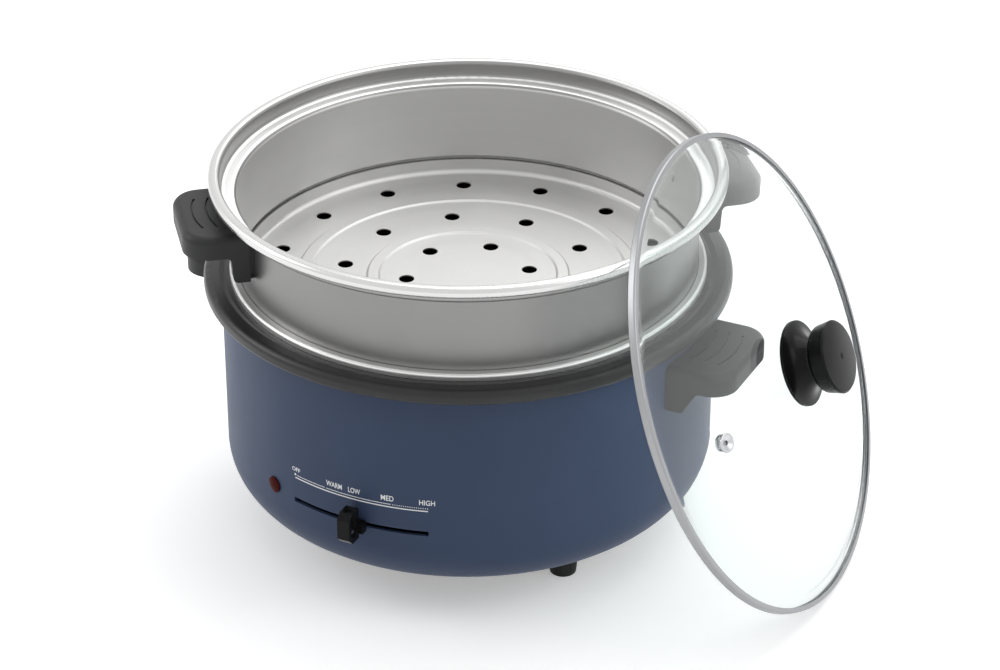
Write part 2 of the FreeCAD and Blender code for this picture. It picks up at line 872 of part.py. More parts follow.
def heat_shield():
    """The thin inverted dish between the plate and the base cover."""
    body = new_body("heat_shield")
    top = base_height + S.shield_rise + S.shield_thickness
    rim = base_flat_radius - S.shield_inset
    profile = draw(body, "XZ", [
        at(S.shield_hole, top - S.shield_thickness),
        at(rim - S.shield_thickness, top - S.shield_thickness),
        at(rim - S.shield_thickness, base_height + S.shell_wall),
        at(rim, base_height + S.shell_wall),
        at(rim, top),
        at(S.shield_hole, top),
    ])
    turn(body, profile)
    hole = rod(body, S.post_radius + S.shield_fit, 3 * S.shield_thickness,
               upright(S.post_ring, BACK, top - 2 * S.shield_thickness), cut=True)
    repeat(body, [hole], S.post_count)


def heating_plate():
    """The cast plate under the pot, with the ring that clasps the tubular element."""
    body = new_body("heating_plate")
    rib_inside = S.rib_radius - S.rib_width / 2
    rib_outside = S.rib_radius + S.rib_width / 2
    profile = draw(body, "XZ", [
        at(0, post_top),
        at(rib_inside, post_top),
        at(rib_inside, post_top - S.rib_depth),
        at(rib_outside, post_top - S.rib_depth),
        at(rib_outside, post_top),
        at(S.plate_radius, post_top),
        at(S.plate_radius, plate_top - S.plate_chamfer),
        at(S.plate_radius - S.plate_chamfer, plate_top),
        at(0, plate_top),
    ])
    turn(body, profile)
    half = S.element_radius + S.element_fit
    channel = draw(body, "XZ", [
        at(S.rib_radius - half, post_top - S.rib_depth - 1),
        at(S.rib_radius + half, post_top - S.rib_depth - 1),
        rounded(S.rib_radius + half, element_level + half, S.element_radius),
        rounded(S.rib_radius - half, element_level + half, S.element_radius),
    ])
    turn(body, channel, cut=True)
    socket = rod(body, S.stud_radius + S.screw_fit, S.stud_height + S.screw_fit,
                 upright(S.post_ring, BACK, post_top), cut=True)
    repeat(body, [socket], S.post_count)


def heating_element():
    """The sheathed tube round the plate, open at the back, with its ends turned down."""
    body = new_body("heating_element")
    radius = S.element_radius
    profile = draw(body, "YZ", [
        at(-(S.rib_radius + radius), element_level),
        arc_to(-S.rib_radius, element_level - radius, radius, -1),
        arc_to(-(S.rib_radius - radius), element_level, radius, -1),
        arc_to(-S.rib_radius, element_level + radius, radius, -1),
    ])
    turn(body, profile, 360 - S.element_gap)
    for angle in element_ends:
        rod(body, radius, S.element_end, upright(S.rib_radius, angle, element_level - S.element_end))


def element_terminal(label, angle):
    """The pin at one end of the element."""
    body = new_body(label)
    rod(body, S.terminal_radius, S.terminal_length, seat(0, 0, 0))
    sit(body, upright(S.rib_radius, angle, element_level - S.element_end - S.terminal_length))


def thermostat_body():
    """The switch under the middle of the plate, bored for its spindle."""
    body = new_body("thermostat_body")
    bottom = post_top - S.thermostat_height
    bore = S.spindle_radius + S.spindle_fit
    profile = draw(body, "XZ", [
        at(bore, bottom),
        rounded(S.thermostat_radius, bottom, S.thermostat_edge),
        at(S.thermostat_radius, post_top - S.thermostat_flange_height),
        at(S.thermostat_flange, post_top - S.thermostat_flange_height),
        at(S.thermostat_flange, post_top),
        at(0, post_top),
        at(0, bottom + S.spindle_engagement),
        at(bore, bottom + S.spindle_engagement),
    ])
    turn(body, profile)


# ---------------------------------------------------------------------------------------------
# Temperature slider

def thermostat_spindle():
    """The shaft that the lever turns."""
    body = new_body("thermostat_spindle")
    bore = S.lever_screw_radius + S.screw_fit
    profile = draw(body, "XZ", [
        at(bore, hub_bottom),
        at(S.spindle_radius, hub_bottom),
        at(S.spindle_radius, hub_bottom + S.spindle_length),
        at(0, hub_bottom + S.spindle_length),
        at(0, hub_bottom + S.lever_screw_length),
        at(bore, hub_bottom + S.lever_screw_length),
    ])
    turn(body, profile)
    sit(body, turned(S.slider_rest))


def lever_arm():
    """The hub on the spindle and the bent strip from it out through the slot."""
    body = new_body("lever_arm")
    hub = draw(body, "XZ", rectangle(S.spindle_radius + S.spindle_fit, hub_bottom,
                                     S.hub_radius, hub_bottom + S.hub_height))
    turn(body, hub)
    strip = S.lever_thickness
    low = hub_bottom + strip
    upper = slot_level + strip / 2
    foot, knee = shell_inside - S.lever_foot, shell_inside - S.lever_knee
    path = draw(body, "YZ", [
        at(-(S.hub_radius - 1), low),
        at(-(S.hub_radius - 1), low - strip),
        rounded(-foot, low - strip, S.lever_bend_radius),
        rounded(-knee, upper - strip, S.lever_bend_radius),
        at(-(shell_radius + S.slider_gap + S.tab_depth), upper - strip),
        at(-(shell_radius + S.slider_gap + S.tab_depth), upper),
        rounded(-knee, upper, S.lever_bend_radius),
        rounded(-foot, low, S.lever_bend_radius),
    ])
    pad(body, path, S.lever_width, both_ways=True)
    shoulder = draw(body, "XY", rectangle(
        S.tab_width / 2, -(shell_radius + S.slider_gap + S.tab_depth + 1),
        S.lever_width / 2 + 1, -(shell_radius + S.slider_gap / 2)), lift=upper + 1)
    mirror(body, [pocket(body, shoulder, strip + 2)], "YZ")
    sit(body, turned(S.slider_rest))


def lever_screw():
    """The screw that keeps the hub on the spindle."""
    fastener("lever_screw", seat(0, 0, hub_bottom, pitch=180),
             S.lever_screw_radius, S.lever_screw_length - S.screw_fit,
             S.lever_screw_head, S.lever_screw_head_height)


def slider_knob():
    """The finger piece on the end of the lever."""
    body = new_body("slider_knob")
    back = -(shell_radius + S.slider_gap)
    neck, front = back - S.slider_neck_depth, back - S.slider_depth
    middle = slot_level + S.slider_lift
    low, high = middle - S.slider_height / 2, middle + S.slider_height / 2
    cut = S.slider_chamfer
    side = draw(body, "YZ", [
        at(neck, low), at(neck, high), at(front + cut, high), at(front, high - cut),
        at(front, low + cut), at(front + cut, low),
    ])
    pad(body, side, S.slider_width, both_ways=True)
    throat = draw(body, "YZ", rectangle(neck - 1, slot_level - S.slider_neck_height / 2,
                                        back, slot_level + S.slider_neck_height / 2))
    pad(body, throat, S.slider_neck_width, both_ways=True)
    grip_middle = (neck + front) / 2
    grip = draw(body, "YZ", [
        rounded(grip_middle + x * S.slider_grip_width / 2, middle + z * S.slider_grip_height / 2,
                S.slider_grip_round)
        for x, z in ((-1, -1), (1, -1), (1, 1), (-1, 1))
    ], lift=S.slider_width / 2)
    core = draw(body, "YZ", [
        rounded(grip_middle + x * (S.slider_grip_width / 2 - S.slider_core_inset),
                middle + z * (S.slider_grip_height / 2 - S.slider_core_inset),
                S.slider_core_round)
        for x, z in ((-1, -1), (1, -1), (1, 1), (-1, 1))
    ], lift=S.slider_width / 2)
    mirror(body, [pocket(body, grip, S.slider_grip_depth),
                  pocket(body, core, S.slider_core_depth)], "YZ")
    mark = draw(body, "XY", [
        at(x * S.slider_mark / 2, grip_middle + y * S.slider_mark / 2)
        for x, y in ((-1, -1), (1, -1), (1, 1), (-1, 1))
    ], lift=high)
    pocket(body, mark, S.slider_mark_depth)
    half = S.lever_thickness / 2 + S.tab_fit
    tab = draw(body, "YZ", rectangle(back - S.tab_depth - S.tab_fit, slot_level - half,
                                     back + 1, slot_level + half))
    pocket(body, tab, S.tab_width + 2 * S.tab_fit, both_ways=True)
    sit(body, turned(S.slider_rest))


# ---------------------------------------------------------------------------------------------
# Pilot lamp and mains inlet

def lamp_lens():
    """The red lens in the front of the shell."""
    body = new_body("lamp_lens")
    profile = draw(body, "XZ", [
        at(0, -S.lamp_depth),
        at(S.lamp_radius, -S.lamp_depth),
        at(S.lamp_radius, 0),
        at(S.lamp_flange, 0),
        at(S.lamp_flange, S.lamp_flange_height),
        arc_to(0, S.lamp_flange_height + S.lamp_dome, cap_radius(S.lamp_flange, S.lamp_dome), -1),
    ])
    turn(body, profile)
    sit(body, radial(shell_radius, FRONT + S.lamp_angle, lamp_level))


def lamp_bulb():
    """The neon bulb against the back of the lens."""
    body = new_body("lamp_bulb")
    profile = draw(body, "XZ", [
        at(0, -(S.lamp_depth + S.bulb_length)),
        rounded(S.bulb_radius, -(S.lamp_depth + S.bulb_length), S.bulb_round),
        at(S.bulb_radius, -S.lamp_depth),
        at(0, -S.lamp_depth),
    ])
    turn(body, profile)
    sit(body, radial(shell_radius, FRONT + S.lamp_angle, lamp_level))


def rounded_rectangle(width, height, middle, radius):
    """The corners of a rounded rectangle centred on the Z axis at a height."""
    return [rounded(x * width / 2, middle + z * height / 2, radius)
            for x, z in ((-1, -1), (1, -1), (1, 1), (-1, 1))]


def inlet_socket():
    """The moulded mains socket, seated on the curve of the shell."""
    body = new_body("inlet_socket")
    face = shell_radius + S.inlet_flange_depth
    flange = draw(body, "XZ", rounded_rectangle(S.inlet_flange_width, S.inlet_flange_height,
                                                inlet_level, S.inlet_round), lift=-face)
    pad(body, flange, 2 * S.inlet_flange_depth)
    rod(body, shell_radius + S.handle_seat, S.inlet_flange_height + 2,
        seat(0, 0, inlet_level - S.inlet_flange_height / 2 - 1), cut=True)
    depth = S.inlet_depth + S.inlet_wall
    barrel = draw(body, "XZ", rounded_rectangle(S.inlet_width, S.inlet_height,
                                                inlet_level, S.inlet_barrel_round), lift=-face)
    pad(body, barrel, depth)
    mouth = draw(body, "XZ", rounded_rectangle(
        S.inlet_width - 2 * S.inlet_wall, S.inlet_height - 2 * S.inlet_wall, inlet_level,
        S.inlet_barrel_round), lift=-(face - S.inlet_depth))
    pocket(body, mouth, S.inlet_depth)
    for x, z in inlet_pin_places:
        pin = draw(body, "XZ", rectangle(
            x - S.pin_width / 2 - S.pin_fit, z - S.pin_thickness / 2 - S.pin_fit,
            x + S.pin_width / 2 + S.pin_fit, z + S.pin_thickness / 2 + S.pin_fit),
            lift=-(face - depth - 1))
        pocket(body, pin, S.inlet_wall + 2)
    for side in (-1, 1):
        rod(body, S.inlet_screw_radius + S.screw_fit, 2 * S.inlet_flange_depth,
            seat(side * S.inlet_screw_spacing / 2, shell_inside, inlet_level, yaw=BACK, pitch=90),
            cut=True)


def inlet_pin(label, x, z):
    """A blade of the socket, which stands out behind it as a tag."""
    body = new_body(label)
    wall_back = shell_radius + S.inlet_flange_depth - S.inlet_depth - S.inlet_wall
    blade = draw(body, "XZ", rectangle(x - S.pin_width / 2, z - S.pin_thickness / 2,
                                       x + S.pin_width / 2, z + S.pin_thickness / 2),
                 lift=-(wall_back - S.pin_tail))
    pad(body, blade, S.pin_tail + S.inlet_wall + S.pin_reach, back=True)


def inlet_screw(label, side):
    """One of the two screws through the socket's flange."""
    where = seat(side * S.inlet_screw_spacing / 2, shell_radius + S.inlet_flange_depth,
                 inlet_level, yaw=BACK, pitch=90)
    fastener(label, where, S.inlet_screw_radius, S.inlet_screw_length,
             S.inlet_screw_head, S.inlet_screw_head_height)


# ---------------------------------------------------------------------------------------------
# Handles

def ring_sector(inside, outside, half_angle):
    """The corners of a strip that bends round the origin, centred on +X."""
    far, near_side = cosine(half_angle), sine(half_angle)
    return [
        at(inside * far, -(inside * near_side)),
        at(outside * far, -(outside * near_side)),
        arc_to(outside * far, outside * near_side, outside, -1),
        at(inside * far, inside * near_side),
    ]


Leg = namedtuple("Leg", "height depth gusset")


def handle(label, wall, reach, top, leg, degrees):
    """A shelf handle with two legs and three finger grooves, turned to its side of the pot."""
    body = new_body(label)
    half = S.handle_width / 2
    inner = wall - S.handle_root
    under = top - S.handle_thickness
    outline = draw(body, "XY", [
        at(inner, -half),
        rounded(reach, -half, S.handle_corner),
        rounded(reach, half, S.handle_corner),
        at(inner, half),
    ], lift=under)
    pad(body, outline, S.handle_thickness)
    round_edges(body, S.handle_edge,
                lambda box: near(box.ZMin, top) and near(box.ZMax, top) and box.XLength > 1)
    foot, root_end = top - leg.height, wall + leg.depth + leg.gusset
    side = draw(body, "XZ", [
        at(inner, foot),
        rounded(wall + leg.depth, foot, S.handle_leg_round),
        rounded(root_end, under, S.handle_leg_fillet),
        at(root_end + S.handle_leg_fillet, under),
        at(root_end + S.handle_leg_fillet, under + 1),
        at(inner, under + 1),
    ], lift=half)
    mirror(body, [pad(body, side, S.handle_leg_width, back=True)], "XZ")
    rod(body, wall, leg.height + 2, seat(0, 0, foot - 1), cut=True)
    for row in range(SIZES["groove_count"]):
        middle = reach - S.groove_margin - row * S.groove_spacing
        groove = draw(body, "XY", ring_sector(S.groove_bend - S.groove_width / 2,
                                              S.groove_bend + S.groove_width / 2,
                                              S.groove_half_angle),
                      lift=top, shift=middle - S.groove_bend)
        pocket(body, groove, S.groove_depth)
    for end in ENDS:
        rod(body, S.handle_screw_radius + S.screw_fit, S.handle_screw_bite + 1,
            radial(wall - 1, leg_angle(wall, end), foot + S.handle_screw_rise), cut=True)
    sit(body, turned(degrees))


def pot_handle(label, degrees):
    """One of the two handles on the shell."""
    handle(label, shell_radius + S.handle_seat, shell_radius + S.pot_handle_reach,
           pot_handle_top, Leg(S.pot_handle_leg, S.pot_handle_leg_depth, S.pot_handle_gusset),
           degrees)


def steamer_handle(label, degrees):
    """One of the two handles on the steamer."""
    handle(label, bracket_outside + S.handle_seat, bracket_outside + S.steamer_handle_reach,
           steamer_handle_top, Leg(S.steamer_handle_leg, S.steamer_handle_leg_depth,
                                   S.steamer_handle_gusset), degrees)


def leg_angle(wall, end):
    """Direction from the pot's axis to the middle of a handle's leg: end -1 or 1, in degrees."""
    return end * arcsine(leg_middle / wall)


def pot_handle_screw(label, side, end):
    """A screw from inside the shell into a leg of a handle."""
    where = turned(side) * radial(shell_inside - S.screw_fit, leg_angle(shell_radius, end),
                                  pot_handle_screw_level, inwards=True)
    fastener(label, where, S.handle_screw_radius, S.handle_screw_length,
             S.handle_screw_head, S.handle_screw_head_height)


def steamer_handle_rivet(label, side, end):
    """A flat-headed rivet from inside the steamer into a leg of a handle."""
    where = turned(S.steamer_turn + side) * radial(
        steamer_wall - S.steel - S.screw_fit, leg_angle(bracket_outside, end),
        steamer_rivet_level, inwards=True)
    fastener(label, where, S.rivet_radius, S.rivet_length, S.rivet_head, S.rivet_head_height)


# ---------------------------------------------------------------------------------------------
# Inner pot and steamer

def inner_pot():
    """The lift-out cooking pot, whose rim rolls over the shell."""
    body = new_body("inner_pot")
    wall = S.pot_wall
    ledge_end = S.pot_radius + S.pot_ledge_width
    crown = pot_ledge + S.pot_crown
    crown_start = ledge_end + S.pot_crown_slope
    rim = shell_radius + S.pot_rim_overhang
    curl = shell_radius + S.pot_curl_clearance
    curl_bottom = crown - S.pot_rim_drop
    profile = draw(body, "XZ", [
        at(0, plate_top),
        rounded(pot_outside, plate_top, S.pot_corner + wall),
        at(pot_outside, pot_ledge - wall),
        at(ledge_end, pot_ledge - wall),
        at(crown_start, crown - wall),
        rounded(rim - wall, crown - wall, S.pot_rim_round - wall),
        at(rim - wall, curl_bottom + wall),
        at(curl, curl_bottom + wall),
        at(curl, curl_bottom),
        rounded(rim, curl_bottom, S.pot_curl_round),
        rounded(rim, crown, S.pot_rim_round),
        at(crown_start, crown),
        at(ledge_end, pot_ledge),
        rounded(S.pot_radius, pot_ledge, S.pot_mouth_round),
        rounded(S.pot_radius, pot_inside_floor, S.pot_corner),
        at(0, pot_inside_floor),
    ])
    turn(body, profile)


def steamer_shell():
    """The spun steel steamer, with its perforated and beaded floor."""
    body = new_body("steamer_shell")
    steel = S.steel
    under = bead_line(steamer_floor)
    upper = bead_line(steamer_floor + steel)
    bead_bottom = steamer_top - S.rim_bead
    flange = steamer_wall + S.flange_bead
    flange_top = pot_ledge + S.flange_bead_height
    inside_round = S.shoulder_round - steel
    outside = [
        rounded(spigot_radius, steamer_floor, S.spigot_round),
        at(spigot_radius, pot_ledge),
        rounded(flange, pot_ledge, S.flange_round),
        rounded(flange, flange_top, S.flange_round),
        at(steamer_wall, flange_top),
        rounded(steamer_wall, shoulder_level - steel, inside_round),
        rounded(steamer_mouth + steel, shoulder_level - steel, S.shoulder_round),
        at(steamer_mouth + steel, bead_bottom),
        rounded(steamer_rim, bead_bottom, S.rim_bead_round),
        rounded(steamer_rim, steamer_top, S.rim_bead_round),
        rounded(steamer_mouth, steamer_top, S.rim_bead_round),
        rounded(steamer_mouth, shoulder_level, inside_round),
        rounded(steamer_wall - steel, shoulder_level, S.shoulder_round),
        at(steamer_wall - steel, flange_top - steel),
        rounded(flange - steel, flange_top - steel, S.flange_round - steel),
        rounded(flange - steel, pot_ledge + steel, S.flange_round - steel),
        at(spigot_radius - steel, pot_ledge + steel),
        rounded(spigot_radius - steel, steamer_floor + steel, S.spigot_round - steel),
    ]
    profile = draw(body, "XZ", under + outside + upper[::-1])
    turn(body, profile)
    for radius, count, phase in (
            (S.inner_ring_radius, S.inner_ring_count, S.inner_ring_phase),
            (S.middle_ring_radius, S.middle_ring_count, S.middle_ring_phase),
            (S.outer_ring_radius, S.outer_ring_count, S.outer_ring_phase)):
        hole = rod(body, S.steam_hole_radius, steel + 2,
                   upright(radius, phase, steamer_floor - 1), cut=True)
        repeat(body, [hole], count)
    for side in SIDES:
        for end in ENDS:
            rod(body, S.rivet_radius + S.screw_fit, steel + 2,
                radial(steamer_wall - steel - 1, side + leg_angle(bracket_outside, end),
                       steamer_rivet_level), cut=True)
    sit(body, turned(S.steamer_turn))


def bead_line(level):
    """The floor's corners from the middle out, with its two raised rings."""
    corners = [at(0, level)]
    for radius in (S.inner_bead_radius, S.outer_bead_radius):
        half = S.base_bead_width / 2
        flank = S.base_bead_flank
        corners += [
            at(radius - half, level),
            at(radius - half + flank, level + S.base_bead_height),
            at(radius + half - flank, level + S.base_bead_height),
            at(radius + half, level),
        ]
    return corners


def steamer_handle_bracket(label, side):
    """The curved plate between the steamer's wall and a handle."""
    body = new_body(label)
    bottom = steamer_handle_top - S.steamer_handle_leg - S.bracket_below
    section = draw(body, "YZ", rectangle(bracket_radius, bottom,
                                         bracket_outside, bottom + S.bracket_height))
    width = S.handle_width + S.bracket_overhang * 2
    turn(body, section, width / bracket_outside * DEGREES_PER_RADIAN)
    round_edges(body, S.bracket_round, lambda box: near(box.ZMin, bottom)
                and near(box.ZMax, bottom) and box.YLength > box.XLength)
    for end in ENDS:
        rod(body, S.rivet_radius + S.screw_fit, S.bracket_thickness + 2,
            radial(bracket_radius - 1, BACK + leg_angle(bracket_outside, end),
                   steamer_rivet_level), cut=True)
    sit(body, turned(S.steamer_turn + side - BACK))


# ---------------------------------------------------------------------------------------------
# Glass lid, drawn flat round its knob and then leaned against the steamer

glass_bottom = S.band + S.glass_fit
glass_top = glass_bottom + S.glass
glass_radius = lid_radius - S.band - S.glass_fit
dome_edge = glass_radius - S.glass_flange
dome_top = glass_top + S.dome_rise
dome_height = (dome_edge * dome_edge - S.knob_bore * S.knob_bore + S.dome_rise * S.dome_rise) \
    / (S.dome_rise * 2)
dome_centre = dome_top - dome_height
outer_dome = root(dome_height * dome_height + S.knob_bore * S.knob_bore)
inner_dome = outer_dome - S.glass
skirt_top = dome_top + S.skirt_height


def dome_level(sphere, radius):
    """Height of a point of the dome above the lid's rim."""
    return dome_centre + root(sphere * sphere - radius * radius)


def cap_radius(reach, rise):
    """Radius of a shallow cap from its half width and its rise."""
    return (reach * reach + rise * rise) / (rise * 2)


def rim_contact():
    """How far back the dome's centre may go before the glass touches the steamer's rim."""
    bead = S.rim_bead / 2
    reach = inner_dome - bead - S.lid_lean_gap
    drop = steamer_top - bead - dome_centre_level
    return steamer_rim - S.rim_bead_width / 2 - root(reach * reach - drop * drop)


def handle_contact():
    """The same for the nearer corner of the steamer's handle."""
    corner, edge = S.handle_corner, S.handle_edge
    across = bracket_outside + S.steamer_handle_reach - corner
    aside = S.handle_width / 2 - corner
    swing = S.steamer_turn - S.lid_angle
    x = across * cosine(swing) + aside * sine(swing)
    y = across * sine(swing) - aside * cosine(swing)
    reach = inner_dome - S.lid_lean_gap - edge
    drop = steamer_handle_top - edge - dome_centre_level
    level = root(reach * reach - drop * drop) - (corner - edge)
    return x - root(level * level - y * y)


lid_level = lid_radius * cosine(S.lid_tilt) + S.lid_floor_gap
dome_centre_level = lid_level + dome_centre * sine(S.lid_tilt)
lid_reach = larger(rim_contact(), handle_contact()) - dome_centre * cosine(S.lid_tilt)
lid_seat = seat(lid_reach * cosine(S.lid_angle), lid_reach * sine(S.lid_angle), lid_level,
                yaw=S.lid_angle, pitch=90 - S.lid_tilt)
vent_tip = arcsine(S.vent_offset / outer_dome)
vent_seat = seat(S.vent_offset * cosine(S.vent_turn), S.vent_offset * sine(S.vent_turn),
                 dome_level(outer_dome, S.vent_offset), yaw=S.vent_turn, pitch=vent_tip)


def lid_glass():
    """The domed glass with its flat flange and the holes for the knob and the vent."""
    body = new_body("lid_glass")
    inner_edge = root(inner_dome * inner_dome
                      - (glass_bottom - dome_centre) * (glass_bottom - dome_centre))
    profile = draw(body, "XZ", [
        at(S.knob_bore, dome_level(inner_dome, S.knob_bore)),
        arc_to(inner_edge, glass_bottom, inner_dome, 1),
        rounded(glass_radius, glass_bottom, S.glass_edge),
        rounded(glass_radius, glass_top, S.glass_edge),
        at(dome_edge, glass_top),
        arc_to(S.knob_bore, dome_top, outer_dome, -1),
    ])
    turn(body, profile)
    for radius, level in ((dome_edge, glass_top), (inner_edge, glass_bottom)):
        round_edges(body, S.dome_blend, lambda box: near(box.ZMin, level) and near(box.ZMax, level)
                    and near(box.XMax, radius))
    rod(body, S.grommet_tube + S.screw_fit, S.glass + 2, vent_seat * seat(0, 0, -(S.glass + 1)),
        cut=True)
    sit(body, lid_seat)


def lid_band():
    """The rolled steel band round the glass."""
    body = new_body("lid_band")
    band = S.band
    inside = lid_radius - S.band_lap
    top = glass_top + S.glass_fit + band
    profile = draw(body, "XZ", [
        at(inside, 0),
        rounded(lid_radius, 0, S.band_round),
        rounded(lid_radius, top, S.band_round),
        at(inside, top),
        at(inside, top - band),
        rounded(lid_radius - band, top - band, S.band_round - band),
        rounded(lid_radius - band, band, S.band_round - band),
        at(inside, band),
    ])
    turn(body, profile)
    sit(body, lid_seat)


def vent_grommet():
    """The steam vent: a flanged eyelet through the glass."""
    body = new_body("vent_grommet")
    under = -(S.glass + S.glass_fit)
    profile = draw(body, "XZ", [
        at(S.grommet_bore, under - S.grommet_flange),
        at(S.grommet_lip, under - S.grommet_flange),
        at(S.grommet_lip, under),
        at(S.grommet_tube, under),
        at(S.grommet_tube, 0),
        at(S.grommet_radius, 0),
        rounded(S.grommet_radius, S.grommet_flange, S.grommet_flange / 2),
        at(S.grommet_cup, S.grommet_flange),
        at(S.grommet_bore, 0),
    ])
    turn(body, profile)
    sit(body, lid_seat * vent_seat)


def knob_escutcheon():
    """The flared skirt between the glass and the knob, hollowed to sit on the dome."""
    body = new_body("knob_escutcheon")
    sphere = outer_dome + S.skirt_gap
    profile = draw(body, "XZ", [
        at(S.knob_bore, skirt_top),
        at(S.knob_bore, dome_level(sphere, S.knob_bore)),
        arc_to(S.skirt_radius, dome_level(sphere, S.skirt_radius), sphere, 1),
        at(S.skirt_radius, dome_level(sphere, S.skirt_radius) + S.skirt_edge),
        arc_to(S.skirt_neck, skirt_top, S.skirt_curve, 1),
    ])
    turn(body, profile)
    sit(body, lid_seat)


def lid_knob():
    """The barrel-shaped knob with a chamfered lip and a slightly domed face."""
    body = new_body("lid_knob")
    top = skirt_top + S.knob_height
    face = S.knob_radius - S.knob_chamfer
    profile = draw(body, "XZ", [
        at(S.knob_bore, skirt_top),
        at(S.knob_neck, skirt_top),
        at(S.knob_neck, skirt_top + S.knob_collar),
        rounded(S.knob_waist, skirt_top + S.knob_collar, S.knob_bulge),
        at(S.knob_radius, top - S.knob_chamfer),
        at(face, top),
        arc_to(0, top + S.knob_face, cap_radius(face, S.knob_face), -1),
        at(0, skirt_top + S.knob_bore_depth),
        at(S.knob_bore, skirt_top + S.knob_bore_depth),
    ])
    turn(body, profile)
    sit(body, lid_seat)


def glass_seal():
    """The soft washer under the glass."""
    body = new_body("glass_seal")
    top = dome_level(inner_dome, S.seal_radius) - S.screw_fit
    profile = draw(body, "XZ", rectangle(S.knob_bore, top - S.seal_thickness, S.seal_radius, top))
    turn(body, profile)
    sit(body, lid_seat)


def knob_washer():
    """The steel washer under the knob's screw."""
    body = new_body("knob_washer")
    top = dome_level(inner_dome, S.seal_radius) - S.screw_fit - S.seal_thickness
    profile = draw(body, "XZ", rectangle(S.knob_bore, top - S.washer_thickness,
                                         S.washer_radius, top))
    turn(body, profile)
    sit(body, lid_seat)


def knob_screw():
    """The screw that clamps the knob to the glass."""
    under = (dome_level(inner_dome, S.seal_radius) - S.screw_fit - S.seal_thickness
             - S.washer_thickness)
    fastener("knob_screw", lid_seat * seat(0, 0, under, pitch=180), S.knob_screw_radius,
             S.knob_screw_length, S.knob_screw_head, S.knob_screw_head_height)


# ---------------------------------------------------------------------------------------------
# The document

def build_housing():
    """The pieces of the base that stay still."""
    outer_housing()
    base_cover()
    heat_shield()
    heating_plate()
    heating_element()
    thermostat_body()
    for number, angle in enumerate(POSTS, start=1):
        rubber_foot(f"rubber_foot_{number}", angle)
        foot_screw(f"foot_screw_{number}", angle)
        support_post(f"support_post_{number}", angle)
        post_screw(f"post_screw_{number}", angle)
    for number, angle in enumerate(element_ends, start=1):
        element_terminal(f"element_terminal_{number}", angle)
    lamp_lens()
    lamp_bulb()
    inlet_socket()
    for number, (x, z) in enumerate(inlet_pin_places, start=1):
        inlet_pin(f"inlet_pin_{number}", x, z)
    for number, side in enumerate(ENDS, start=1):
        inlet_screw(f"inlet_screw_{number}", side)
    for hand, side in zip(("right", "left"), SIDES):
        pot_handle(f"{hand}_pot_handle", side)
        for number, end in enumerate(ENDS, start=1):
            pot_handle_screw(f"{hand}_pot_handle_screw_{number}", side, end)


def build_slider():
    """The pieces that swing with the temperature slider."""
    thermostat_spindle()
    lever_arm()
    lever_screw()
    slider_knob()


def build_steamer():
    """The steamer with its two handles."""
    steamer_shell()
    for hand, side in zip(("right", "left"), SIDES):
        steamer_handle_bracket(f"{hand}_steamer_bracket", side)
        steamer_handle(f"{hand}_steamer_handle", S.steamer_turn + side)
        for number, end in enumerate(ENDS, start=1):
            steamer_handle_rivet(f"{hand}_steamer_rivet_{number}", side, end)


def build_lid():
    """The glass lid with its band, vent and knob."""
    lid_glass()
    lid_band()
    vent_grommet()
    knob_escutcheon()
    lid_knob()
    glass_seal()
    knob_washer()
    knob_screw()


def finished_pieces():
    """The bodies and fasteners of the document, once every object in it has recomputed cleanly."""
    doc.recompute()
    for item in doc.Objects:
        if "Invalid" in item.State or "Error" in item.State:
            raise RuntimeError(f"{item.Name} did not recompute: {item.State}")
    pieces = [item for item in doc.Objects
              if item.TypeId in ("PartDesign::Body", "Part::Fuse")]
    for piece in pieces:
        if piece.Shape.isNull() or not piece.Shape.isValid():
            raise RuntimeError(f"{piece.Label} has no valid shape")
    return pieces


def write_pieces(pieces):
    """Writes each piece to its own STEP file."""
    os.makedirs("parts", exist_ok=True)
    for piece in pieces:
        piece.Shape.exportStep(f"parts/{piece.Label}.step")


fill_spreadsheet()
build_housing()
build_slider()
inner_pot()
build_steamer()
build_lid()
write_pieces(finished_pieces())
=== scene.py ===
"""Dresses the electric hot pot: finishes for its parts, the printed scale, screw heads, studio.

Lengths are in metres and angles in degrees unless a name says otherwise. The frame is the CAD's:
+Z runs up the pot's axis from the surface that the feet stand on, and the temperature slider
faces -Y. A bearing is an angle round the pot from the front, positive towards +X.
"""

from __future__ import annotations

import json
import logging
import math
from abc import ABC, abstractmethod
from dataclasses import dataclass, field
from enum import Enum
from typing import Any, Iterable

import bpy
import numpy as np
from mathutils import Matrix, Vector

